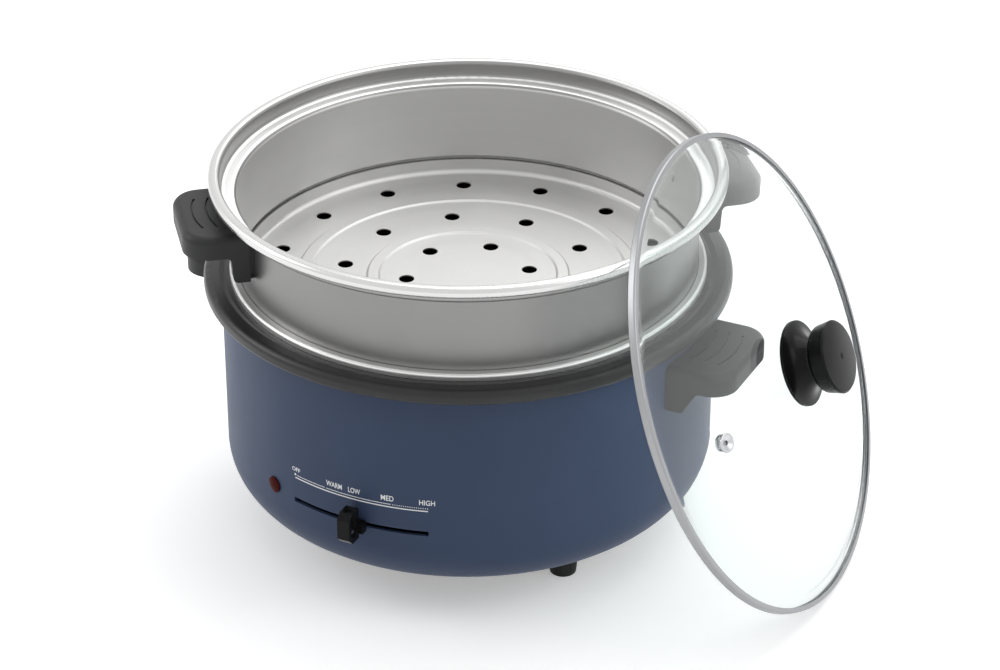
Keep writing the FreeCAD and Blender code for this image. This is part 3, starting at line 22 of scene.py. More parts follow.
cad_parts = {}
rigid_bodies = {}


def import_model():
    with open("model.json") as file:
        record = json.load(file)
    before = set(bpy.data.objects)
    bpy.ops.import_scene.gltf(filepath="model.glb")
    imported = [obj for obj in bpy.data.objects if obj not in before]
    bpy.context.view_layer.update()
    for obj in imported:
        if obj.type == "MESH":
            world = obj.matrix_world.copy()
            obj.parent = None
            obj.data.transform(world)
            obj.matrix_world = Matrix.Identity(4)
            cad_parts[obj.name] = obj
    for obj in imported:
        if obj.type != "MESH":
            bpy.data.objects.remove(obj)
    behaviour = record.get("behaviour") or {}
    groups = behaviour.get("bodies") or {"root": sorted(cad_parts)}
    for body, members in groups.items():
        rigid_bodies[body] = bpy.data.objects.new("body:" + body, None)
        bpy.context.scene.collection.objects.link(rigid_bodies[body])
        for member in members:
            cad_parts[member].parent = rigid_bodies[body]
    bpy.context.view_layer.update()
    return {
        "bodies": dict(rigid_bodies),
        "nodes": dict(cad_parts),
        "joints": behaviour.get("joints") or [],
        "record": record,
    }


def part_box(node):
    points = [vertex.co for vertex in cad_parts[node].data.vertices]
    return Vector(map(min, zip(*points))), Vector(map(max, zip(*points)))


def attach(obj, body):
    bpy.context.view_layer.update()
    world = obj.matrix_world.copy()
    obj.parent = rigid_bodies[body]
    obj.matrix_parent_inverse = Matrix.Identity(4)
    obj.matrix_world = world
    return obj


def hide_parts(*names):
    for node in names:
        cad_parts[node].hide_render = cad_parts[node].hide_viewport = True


log = logging.getLogger("hot_pot")

Color = tuple[float, float, float]
Point = tuple[float, float, float]
WHITE: Color = (1.0, 1.0, 1.0)
LETTER_WEIGHT = 0.012
LETTER_CURVE_STEPS = 4
SAME_POINT = 1e-7


# ---------------------------------------------------------------------------------------------
# Surfaces worked out as arrays

@dataclass
class Surface:
    """Vertices and faces of one closed surface, as arrays."""

    points: np.ndarray
    faces: list[list[int]]

    def moved(self, matrix: Matrix) -> Surface:
        """Returns the surface turned and moved.

        Each point p becomes M p, with M the 4 by 4 matrix.

        Args:
            matrix: The turn and the move.

        Returns:
            The new surface, with the same faces.
        """
        array = np.array(matrix)
        return Surface(self.points @ array[:3, :3].T + array[:3, 3], self.faces)

    def wrapped(self, bearing: float, height: float, radius: float) -> Surface:
        """Bends a flat surface round the pot.

        A point's x becomes a distance along the arc, its y a height and its z a distance out of
        the wall: angle = bearing + x / radius, so x' = (radius + z) sin(angle),
        y' = -(radius + z) cos(angle) and z' = height + y.

        Args:
            bearing: Where x = 0 comes to lie.
            height: Where y = 0 comes to lie.
            radius: Radius of the wall.

        Returns:
            The bent surface, with the same faces.
        """
        angle = math.radians(bearing) + self.points[:, 0] / radius
        reach = radius + self.points[:, 2]
        points = np.column_stack([reach * np.sin(angle), -reach * np.cos(angle),
                                  height + self.points[:, 1]])
        return Surface(points, self.faces)


def joined(surfaces: Iterable[Surface]) -> Surface:
    """Joins surfaces into one, with the face numbers moved on.

    Args:
        surfaces: The surfaces.

    Returns:
        One surface with all their points and faces.
    """
    points: list[np.ndarray] = []
    faces: list[list[int]] = []
    count = 0
    for surface in surfaces:
        points.append(surface.points)
        faces.extend([[corner + count for corner in face] for face in surface.faces])
        count += len(surface.points)
    return Surface(np.vstack(points), faces)


def grid_faces(rows: int, columns: int, wrap_rows: bool = False) -> list[list[int]]:
    """Numbers the quads of a grid of points whose last column joins its first.

    The quad at row i and column j has corners (i, j), (i, j + 1), (i + 1, j + 1), (i + 1, j).

    Args:
        rows: Number of rows.
        columns: Number of points in a row.
        wrap_rows: Join the last row to the first too.

    Returns:
        The quads.
    """
    index = np.arange(rows * columns).reshape(rows, columns)
    index = np.hstack([index, index[:, :1]])
    if wrap_rows:
        index = np.vstack([index, index[:1]])
    corners = [index[:-1, :-1], index[:-1, 1:], index[1:, 1:], index[1:, :-1]]
    return np.stack(corners, axis=-1).reshape(-1, 4).tolist()


def run(grid: np.ndarray) -> Surface:
    """Closes a row of four-cornered sections into a run with flat ends.

    Args:
        grid: The corners, section by section, each anticlockwise seen from the first section.

    Returns:
        The closed surface.
    """
    last = 4 * (len(grid) - 1)
    faces = grid_faces(len(grid), 4) + [[3, 2, 1, 0], [last, last + 1, last + 2, last + 3]]
    return Surface(grid.reshape(-1, 3), faces)


def bar(length: float, width: float, thickness: float, steps: int) -> Surface:
    """A flat bar along X, cut into steps so that it can be bent.

    Point (i, k) is at x = length (i / steps - 1/2), with y and z from the k-th corner of the
    rectangle width by thickness, taken anticlockwise seen from -X.

    Args:
        length: Along X, centred.
        width: Along Y, centred.
        thickness: Along Z, centred.
        steps: Number of steps along X.

    Returns:
        The closed bar.
    """
    x = np.linspace(-length / 2, length / 2, steps + 1)
    y = np.array([-1, -1, 1, 1]) * width / 2
    z = np.array([-1, 1, 1, -1]) * thickness / 2
    return run(np.stack(np.broadcast_arrays(x[:, None], y[None, :], z[None, :]), axis=-1))


def lathe(radii: np.ndarray, heights: np.ndarray, segments: int) -> Surface:
    """Turns a profile round Z. The profile starts and ends on the axis, bottom first.

    Point (i, j) is at radius r_i and angle 2 pi j / segments, so x = r_i cos and y = r_i sin. The
    first and last points of the profile are single poles with a fan of triangles.

    Args:
        radii: The profile's radii, zero at both ends.
        heights: The profile's heights.
        segments: Number of points round the axis.

    Returns:
        The closed surface.
    """
    angle = np.linspace(0.0, 2 * np.pi, segments, endpoint=False)
    rings = np.stack(np.broadcast_arrays(radii[1:-1, None] * np.cos(angle),
                                         radii[1:-1, None] * np.sin(angle),
                                         heights[1:-1, None]), axis=-1).reshape(-1, 3)
    points = np.vstack([rings, [[0, 0, heights[0]], [0, 0, heights[-1]]]])
    around = np.arange(segments)
    after = (around + 1) % segments
    bottom, top, last = len(rings), len(rings) + 1, len(rings) - segments
    faces = grid_faces(len(radii) - 2, segments)
    faces += np.column_stack([np.full(segments, bottom), after, around]).tolist()
    faces += np.column_stack([last + around, last + after, np.full(segments, top)]).tolist()
    return Surface(points, faces)


def rounded_loop(corners: np.ndarray, steps: int) -> np.ndarray:
    """Rounds the corners of a closed outline.

    With u and v the unit vectors from a corner to its neighbours and a the angle between them,
    the arc of radius f is centred f / sin(a / 2) from the corner along u + v, and runs between
    the points at f / tan(a / 2) along u and v. Its points are the centre plus f times the unit
    vectors of (1 - t) p + t q, with p and q the directions of its ends and t from 0 to 1.

    Args:
        corners: Rows of radius, height and fillet.
        steps: Number of steps in each arc.

    Returns:
        The points of the outline, steps + 1 to a rounded corner and one to a sharp one.
    """
    spot, fillet = corners[:, :2], corners[:, 2:]
    ends = [np.roll(spot, shift, axis=0) - spot for shift in (1, -1)]
    u, v = (end / np.linalg.norm(end, axis=1, keepdims=True) for end in ends)
    half = np.arccos(np.clip((u * v).sum(axis=1, keepdims=True), -1.0, 1.0)) / 2
    inward = (u + v) / np.linalg.norm(u + v, axis=1, keepdims=True)
    centre = spot + inward * fillet / np.sin(half)
    p, q = ((spot + end * fillet / np.tan(half) - centre) for end in (u, v))
    t = np.linspace(0.0, 1.0, steps + 1)[None, :, None]
    way = (1 - t) * p[:, None, :] + t * q[:, None, :]
    size = np.maximum(np.linalg.norm(way, axis=2, keepdims=True), np.finfo(float).tiny)
    arc = centre[:, None, :] + way * fillet[:, None, :] / size
    points = arc.reshape(-1, 2)
    gap = np.linalg.norm(points - np.roll(points, 1, axis=0), axis=1)
    return points[gap > SAME_POINT]


def revolved(outline: np.ndarray, segments: int) -> Surface:
    """Turns a closed outline of radii and heights round Z.

    The point at row j and column i is at radius r_i, height z_i and angle 2 pi j / segments.

    Args:
        outline: The outline, anticlockwise with the radius to the right and the height up.
        segments: Number of points round the axis.

    Returns:
        The closed ring.
    """
    angle = np.linspace(0.0, 2 * np.pi, segments, endpoint=False)[:, None]
    radius, height = outline[::-1].T
    grid = np.stack(np.broadcast_arrays(radius * np.cos(angle), radius * np.sin(angle), height),
                    axis=-1)
    return Surface(grid.reshape(-1, 3), grid_faces(segments, len(outline), wrap_rows=True))


def lettering(text: str, width: float, height: float, thickness: float) -> Surface:
    """Makes a word of solid letters in the XY plane, centred, facing +Z.

    The letters of Blender's own font are stretched to the given box:
    x' = (x - middle) width / w and y' = (y - middle) height / h, with w and h the word's own size.

    Args:
        text: The word.
        width: Width of the whole word.
        height: Height of its capitals.
        thickness: Along Z, centred.

    Returns:
        The letters.
    """
    curve = bpy.data.curves.new(f"word_{text}", "FONT")
    curve.body = text
    curve.extrude = thickness
    curve.offset = LETTER_WEIGHT
    curve.resolution_u = LETTER_CURVE_STEPS
    word = bpy.data.objects.new(f"word_{text}", curve)
    bpy.context.scene.collection.objects.link(word)
    bpy.context.view_layer.update()
    shaped = word.evaluated_get(bpy.context.evaluated_depsgraph_get())
    mesh = bpy.data.meshes.new_from_object(shaped)
    points = np.empty(len(mesh.vertices) * 3)
    mesh.vertices.foreach_get("co", points)
    points = points.reshape(-1, 3)
    faces = [list(polygon.vertices) for polygon in mesh.polygons]
    bpy.data.objects.remove(word)
    bpy.data.curves.remove(curve)
    bpy.data.meshes.remove(mesh)
    low, high = points.min(axis=0), points.max(axis=0)
    size = np.array([width, height, thickness])
    return Surface((points - (low + high) / 2) * size / (high - low), faces)


def make_object(name: str, surface: Surface, smooth: bool) -> bpy.types.Object:
    """Makes a mesh object with its place in its mesh.

    Args:
        name: The object's name.
        surface: Its points and faces.
        smooth: Shade it smooth.

    Returns:
        The object.
    """
    mesh = bpy.data.meshes.new(name)
    mesh.from_pydata(surface.points.tolist(), [], surface.faces)
    mesh.polygons.foreach_set("use_smooth", np.full(len(mesh.polygons), smooth))
    mesh.update()
    made = bpy.data.objects.new(name, mesh)
    bpy.context.scene.collection.objects.link(made)
    return made


# ---------------------------------------------------------------------------------------------
# Shader graphs

def opaque(color: Color) -> tuple[float, float, float, float]:
    """A colour with an alpha of one."""
    return (*color, 1.0)


@dataclass
class Graph:
    """Adds nodes to a node tree and joins them."""

    tree: bpy.types.NodeTree

    def add(self, kind: str, **settings: Any) -> bpy.types.Node:
        """Adds a node.

        Args:
            kind: The node's type name, after ShaderNode.
            **settings: Its properties.

        Returns:
            The node.
        """
        node = self.tree.nodes.new(f"ShaderNode{kind}")
        for name, value in settings.items():
            setattr(node, name, value)
        return node

    def put(self, socket: bpy.types.NodeSocket, value: Any) -> None:
        """Sets an input, or links it if the value is another node's output.

        Args:
            socket: The input.
            value: A number, several numbers or an output.
        """
        if isinstance(value, bpy.types.NodeSocket):
            self.tree.links.new(value, socket)
        else:
            socket.default_value = value

    def feed(self, node: bpy.types.Node, **values: Any) -> bpy.types.Node:
        """Sets or links several inputs of a node.

        Args:
            node: The node.
            **values: By input name, with _ for a space.

        Returns:
            The same node.
        """
        for name, value in values.items():
            self.put(node.inputs[name.replace("_", " ")], value)
        return node

    def math(self, operation: str, first: Any, second: Any = 0.0) -> bpy.types.NodeSocket:
        """Adds a Math node.

        Args:
            operation: The operation's name.
            first: First operand, an output or a number.
            second: Second operand.

        Returns:
            Its output.
        """
        node = self.add("Math", operation=operation)
        self.put(node.inputs[0], first)
        self.put(node.inputs[1], second)
        return node.outputs[0]

    def vector(self, operation: str, first: Any, second: Any = (0.0, 0.0, 0.0)) -> bpy.types.Node:
        """Adds a Vector Math node and returns it.

        Args:
            operation: The operation's name.
            first: First operand, an output or three numbers.
            second: Second operand.

        Returns:
            The node, whose outputs are Vector and Value.
        """
        node = self.add("VectorMath", operation=operation)
        self.put(node.inputs[0], first)
        self.put(node.inputs[1], second)
        return node

    def remap(self, value: Any, low: Any, high: Any, to_low: Any = 0.0,
              to_high: Any = 1.0) -> bpy.types.NodeSocket:
        """Adds a clamped Map Range node.

        Args:
            value: What to map.
            low: Start of the range that it comes from.
            high: End of that range.
            to_low: Start of the range that it goes to.
            to_high: End of that range.

        Returns:
            Its output.
        """
        node = self.add("MapRange")
        self.feed(node, Value=value, From_Min=low, From_Max=high, To_Min=to_low, To_Max=to_high)
        return node.outputs["Result"]

    def noise(self, vector: Any, scale: Any, detail: float, roughness: float,
              distortion: float = 0.0) -> bpy.types.NodeSocket:
        """Adds a Noise Texture.

        Args:
            vector: Its coordinates.
            scale: Waves to a metre, roughly.
            detail: Number of finer layers.
            roughness: How strong the finer layers are.
            distortion: How far the coordinates are pushed about.

        Returns:
            Its grey output.
        """
        node = self.feed(self.add("TexNoise"), Vector=vector, Scale=scale, Detail=detail,
                         Roughness=roughness, Distortion=distortion)
        return node.outputs["Fac"]

    def blend(self, share: Any, first: Any, second: Any) -> bpy.types.NodeSocket:
        """Mixes two colours.

        Args:
            share: How much of the second.
            first: First colour, an output or four numbers.
            second: Second colour.

        Returns:
            The mixed colour.
        """
        node = self.add("Mix", data_type="RGBA")
        self.put(node.inputs["Factor"], share)
        self.put(node.inputs[6], first)
        self.put(node.inputs[7], second)
        return node.outputs[2]


class Effect(Enum):
    """The node groups that several finishes share."""

    GRAIN = "surface_grain"
    RINGS = "lathe_rings"
    WEAR = "edge_wear"
    SMEARS = "handling_smears"


@dataclass
class EffectLibrary:
    """Builds each shared node group once and places it in materials."""

    groups: dict[Effect, bpy.types.NodeTree] = field(default_factory=dict)

    def place(self, graph: Graph, effect: Effect, **values: Any) -> bpy.types.Node:
        """Places an effect in a material.

        Args:
            graph: The material's graph.
            effect: Which effect.
            **values: The group's inputs.

        Returns:
            The group node.
        """
        if effect not in self.groups:
            makers = {Effect.GRAIN: self._grain, Effect.RINGS: self._rings,
                      Effect.WEAR: self._wear, Effect.SMEARS: self._smears}
            self.groups[effect] = makers[effect](effect.value)
        return graph.feed(graph.add("Group", node_tree=self.groups[effect]), **values)

    def _open(self, name: str, inputs: dict[str, Any],
              outputs: Iterable[str]) -> tuple[Graph, bpy.types.Node, bpy.types.Node]:
        """Makes an empty group.

        Args:
            name: The group's name.
            inputs: Name and default of each number that the group takes, after its Vector.
            outputs: Name of each number that it gives.

        Returns:
            The group's graph, its input node and its output node.
        """
        tree = bpy.data.node_groups.new(name, "ShaderNodeTree")
        tree.interface.new_socket("Vector", in_out="INPUT", socket_type="NodeSocketVector")
        for label, default in inputs.items():
            socket = tree.interface.new_socket(label, in_out="INPUT",
                                               socket_type="NodeSocketFloat")
            socket.default_value = default
        for label in outputs:
            tree.interface.new_socket(label, in_out="OUTPUT", socket_type="NodeSocketFloat")
        return Graph(tree), tree.nodes.new("NodeGroupInput"), tree.nodes.new("NodeGroupOutput")

    def _grain(self, name: str) -> bpy.types.NodeTree:
        """Sprayed or moulded texture: a fine noise for relief, its peaks, and a broad drift.

        Args:
            name: The group's name.

        Returns:
            The group.
        """
        graph, source, sink = self._open(name, {"Fine": 1500.0, "Broad": 25.0},
                                         ["Height", "Drift", "Speck"])
        given = source.outputs
        fine = graph.noise(given["Vector"], given["Fine"], 3.0, 0.55)
        broad = graph.noise(given["Vector"], given["Broad"], 4.0, 0.6)
        graph.feed(sink, Height=fine, Drift=graph.remap(broad, 0.3, 0.7),
                   Speck=graph.remap(fine, 0.62, 0.70))
        return graph.tree

    def _rings(self, name: str) -> bpy.types.NodeTree:
        """Lathe marks: noise that changes with the radius and the height and hardly round them.

        Args:
            name: The group's name.

        Returns:
            The group.
        """
        graph, source, sink = self._open(name, {"Pitch": 900.0, "Cloud Size": 12.0},
                                         ["Height", "Bands", "Cloud"])
        given = source.outputs
        part = graph.feed(graph.add("SeparateXYZ"), Vector=given["Vector"]).outputs
        flat = graph.vector("MULTIPLY", given["Vector"], (1.0, 1.0, 0.0)).outputs["Vector"]
        radius = graph.vector("LENGTH", flat).outputs["Value"]
        swing = graph.math("MULTIPLY", graph.math("ARCTAN2", part["Y"], part["X"]), 0.003)
        ring = graph.feed(graph.add("CombineXYZ"), X=radius, Y=swing, Z=part["Z"])
        fine = graph.noise(ring.outputs["Vector"], given["Pitch"], 4.0, 0.7)
        coarse = graph.noise(ring.outputs["Vector"],
                             graph.math("MULTIPLY", given["Pitch"], 0.15), 3.0, 0.6)
        cloud = graph.noise(given["Vector"], given["Cloud Size"], 3.0, 0.55)
        graph.feed(sink, Height=fine, Bands=graph.remap(coarse, 0.3, 0.7),
                   Cloud=graph.remap(cloud, 0.3, 0.7))
        return graph.tree

    def _wear(self, name: str) -> bpy.types.NodeTree:
        """One on edges, where a rounded normal leaves the true one, broken up by noise.

        Args:
            name: The group's name.

        Returns:
            The group.
        """
        graph, source, sink = self._open(name, {"Radius": 0.0006, "Amount": 0.3}, ["Mask"])
        given = source.outputs
        rounded = graph.feed(graph.add("Bevel", samples=4), Radius=given["Radius"])
        true = graph.add("NewGeometry").outputs["Normal"]
        agreement = graph.vector("DOT_PRODUCT", rounded.outputs["Normal"], true).outputs["Value"]
        patches = graph.remap(graph.noise(given["Vector"], 260.0, 4.0, 0.65), 0.40, 0.62)
        edge = graph.math("MULTIPLY", graph.remap(agreement, 0.985, 0.80), patches)
        graph.feed(sink, Mask=graph.math("MULTIPLY", edge, given["Amount"]))
        return graph.tree

    def _smears(self, name: str) -> bpy.types.NodeTree:
        """Faint wiping marks that only change the gloss.

        Args:
            name: The group's name.

        Returns:
            The group.
        """
        graph, source, sink = self._open(name, {"Size": 18.0}, ["Mask"])
        given = source.outputs
        stretched = graph.vector("MULTIPLY", given["Vector"], (1.0, 1.0, 0.35))
        smear = graph.noise(stretched.outputs["Vector"], given["Size"], 6.0, 0.7, 0.6)
        graph.feed(sink, Mask=graph.remap(smear, 0.45, 0.75))
        return graph.tree


EFFECTS = EffectLibrary()


# ---------------------------------------------------------------------------------------------
# Finishes

@dataclass(frozen=True)
class Finish(ABC):
    """A finish of this pot: one material."""

    title: str

    @abstractmethod
    def shade(self, graph: Graph, shader: bpy.types.Node, place: bpy.types.NodeSocket) -> None:
        """Fills in the shader.

        Args:
            graph: The material's graph.
            shader: Its Principled BSDF.
            place: Object coordinates.
        """

    def build(self) -> bpy.types.Material:
        """Builds the material.

        Returns:
            The material.
        """
        material = bpy.data.materials.new(self.title)
        material.use_nodes = True
        graph = Graph(material.node_tree)
        shader = next(node for node in graph.tree.nodes if node.type == "BSDF_PRINCIPLED")
        self.shade(graph, shader, graph.add("TexCoord").outputs["Object"])
        return material


def add_bump(graph: Graph, shader: bpy.types.Node, height: bpy.types.NodeSocket,
             strength: float, depth: float) -> None:
    """Gives a shader a bump.

    Args:
        graph: The material's graph.
        shader: The shader.
        height: What is high and low.
        strength: From 0 to 1.
        depth: Depth of the relief.
    """
    bump = graph.feed(graph.add("Bump"), Strength=strength, Distance=depth, Height=height)
    graph.feed(shader, Normal=bump.outputs["Normal"])


@dataclass(frozen=True)
class Coating(Finish):
    """Paint, moulded plastic, rubber or non-stick: grained, drifting in tone, worn on edges."""

    color: Color = (0.1, 0.1, 0.1)
    worn: Color = (0.3, 0.3, 0.3)
    roughness: float = 0.45
    grit: float = 0.06
    drift: float = 0.10
    fine: float = 1500.0
    broad: float = 25.0
    relief: float = 0.00002
    relief_strength: float = 0.3
    fleck: Color | None = None
    wear: float = 0.25
    wear_radius: float = 0.0006
    specular: float = 0.5
    smear_gloss: float = 0.05

    def shade(self, graph: Graph, shader: bpy.types.Node, place: bpy.types.NodeSocket) -> None:
        """Fills in the shader.

        Args:
            graph: The material's graph.
            shader: Its Principled BSDF.
            place: Object coordinates.
        """
        grain = EFFECTS.place(graph, Effect.GRAIN, Vector=place, Fine=self.fine,
                              Broad=self.broad).outputs
        dark = opaque(tuple(channel * (1 - self.drift) for channel in self.color))
        light = opaque(tuple(channel * (1 + self.drift) for channel in self.color))
        color = graph.blend(grain["Drift"], dark, light)
        if self.fleck is not None:
            color = graph.blend(grain["Speck"], color, opaque(self.fleck))
        wear = EFFECTS.place(graph, Effect.WEAR, Vector=place, Radius=self.wear_radius,
                             Amount=self.wear).outputs["Mask"]
        smears = EFFECTS.place(graph, Effect.SMEARS, Vector=place).outputs["Mask"]
        gloss = graph.remap(grain["Height"], 0.3, 0.7, self.roughness - self.grit,
                            self.roughness + self.grit)
        gloss = graph.math("ADD", gloss, graph.math("MULTIPLY", smears, self.smear_gloss))
        graph.feed(shader, Base_Color=graph.blend(wear, color, opaque(self.worn)),
                   Roughness=gloss, Specular_IOR_Level=self.specular)
        add_bump(graph, shader, grain["Height"], self.relief_strength, self.relief)


@dataclass(frozen=True)
class PaintedLightBand:
    """A band of the same metal from a radius outwards, with a real change of roughness and a
    colour that paints a highlight where it is lighter and shade where it is darker.
    """

    start: float
    color: Color
    roughness: float


@dataclass(frozen=True)
class TurnedMetal(Finish):
    """Spun or pressed sheet metal: fine rings round an axis, faint clouds, wiping marks, and bands
    from given radii outwards whose colour is painted highlight and painted shade.
    """

    color: Color = (0.6, 0.6, 0.6)
    roughness: float = 0.3
    ring_gloss: float = 0.07
    ring_tone: float = 0.08
    pitch: float = 900.0
    relief: float = 0.000012
    relief_strength: float = 0.25
    axis_point: Point = (0.0, 0.0, 0.0)
    axis_turn: Point = (0.0, 0.0, 0.0)
    cloud_gloss: float = 0.04
    smear_gloss: float = 0.06
    smear_size: float = 14.0
    # Bands of painted highlight and painted shade, each with its own roughness.
    painted_light_bands: tuple[PaintedLightBand, ...] = ()
    light_band_blend: float = 0.0001

    def shade(self, graph: Graph, shader: bpy.types.Node, place: bpy.types.NodeSocket) -> None:
        """Fills in the shader.

        Args:
            graph: The material's graph.
            shader: Its Principled BSDF.
            place: Object coordinates.
        """
        centred = graph.feed(graph.add("Mapping", vector_type="TEXTURE"), Vector=place,
                             Location=self.axis_point, Rotation=self.axis_turn)
        rings = EFFECTS.place(graph, Effect.RINGS, Vector=centred.outputs["Vector"],
                              Pitch=self.pitch).outputs
        smears = EFFECTS.place(graph, Effect.SMEARS, Vector=place,
                               Size=self.smear_size).outputs["Mask"]
        dark = opaque(tuple(channel * (1 - self.ring_tone) for channel in self.color))
        light = opaque(tuple(channel * (1 + self.ring_tone) for channel in self.color))
        color = graph.blend(rings["Bands"], dark, light)
        gloss = graph.remap(rings["Bands"], 0.0, 1.0, self.roughness - self.ring_gloss,
                            self.roughness + self.ring_gloss)
        flat = graph.vector("MULTIPLY", place, (1.0, 1.0, 0.0)).outputs["Vector"]
        radius = graph.vector("LENGTH", flat).outputs["Value"]
        # Painted highlight and shade: from each band's radius outwards the base colour turns
        # lighter or darker, and the roughness changes.
        for light_band in self.painted_light_bands:
            share = graph.remap(radius, light_band.start - self.light_band_blend,
                                light_band.start + self.light_band_blend)
            color = graph.blend(share, color, opaque(light_band.color))
            gloss = graph.remap(share, 0.0, 1.0, gloss, light_band.roughness)
        gloss = graph.math("ADD", gloss, graph.math("MULTIPLY", rings["Cloud"], self.cloud_gloss))
        gloss = graph.math("ADD", gloss, graph.math("MULTIPLY", smears, self.smear_gloss))
        graph.feed(shader, Base_Color=color, Metallic=1.0, Roughness=gloss)
        add_bump(graph, shader, rings["Height"], self.relief_strength, self.relief)


@dataclass(frozen=True)
class CastMetal(Finish):
    """Plated screws, cast or drawn metal: a fine even grain and duller patches."""

    color: Color = (0.6, 0.6, 0.6)
    tarnish: Color = (0.3, 0.3, 0.3)
    roughness: float = 0.3
    fine: float = 2200.0
    patches: float = 160.0
    patch_share: float = 0.35
    shinier: float = 0.05
    duller: float = 0.12
    relief: float = 0.00001
    relief_strength: float = 0.3

    def shade(self, graph: Graph, shader: bpy.types.Node, place: bpy.types.NodeSocket) -> None:
        """Fills in the shader.

        Args:
            graph: The material's graph.
            shader: Its Principled BSDF.
            place: Object coordinates.
        """
        grain = EFFECTS.place(graph, Effect.GRAIN, Vector=place, Fine=self.fine,
                              Broad=self.patches).outputs
        share = graph.math("MULTIPLY", grain["Drift"], self.patch_share)
        gloss = graph.remap(grain["Drift"], 0.0, 1.0, self.roughness - self.shinier,
                            self.roughness + self.duller)
        graph.feed(shader, Base_Color=graph.blend(share, opaque(self.color),
                                                  opaque(self.tarnish)),
                   Metallic=1.0, Roughness=gloss)
        add_bump(graph, shader, grain["Height"], self.relief_strength, self.relief)


@dataclass(frozen=True)
class ClearGlass(Finish):
    """Clear pressed glass with a bright face and faint smears. It casts a pale shadow."""

    color: Color = (0.9, 0.94, 0.93)
    roughness: float = 0.0
    smear_roughness: float = 0.002
    smear_size: float = 9.0
    index: float = 1.2
    gloss: float = 1.0

    def shade(self, graph: Graph, shader: bpy.types.Node, place: bpy.types.NodeSocket) -> None:
        """Fills in the shader.

        Args:
            graph: The material's graph.
            shader: Its Principled BSDF.
            place: Object coordinates.
        """
        smears = EFFECTS.place(graph, Effect.SMEARS, Vector=place,
                               Size=self.smear_size).outputs["Mask"]
        graph.feed(shader, Base_Color=opaque(self.color), IOR=self.index,
                   Transmission_Weight=1.0, Coat_Weight=self.gloss, Coat_Roughness=0.0,
                   Roughness=graph.remap(smears, 0.0, 1.0, self.roughness,
                                         self.smear_roughness))
        clear = graph.feed(graph.add("BsdfTransparent"), Color=opaque(self.color))
        either = graph.add("MixShader")
        graph.put(either.inputs[0], graph.add("LightPath").outputs["Is Shadow Ray"])
        graph.put(either.inputs[1], shader.outputs["BSDF"])
        graph.put(either.inputs[2], clear.outputs["BSDF"])
        sheet = next(node for node in graph.tree.nodes if node.type == "OUTPUT_MATERIAL")
        graph.put(sheet.inputs["Surface"], either.outputs["Shader"])


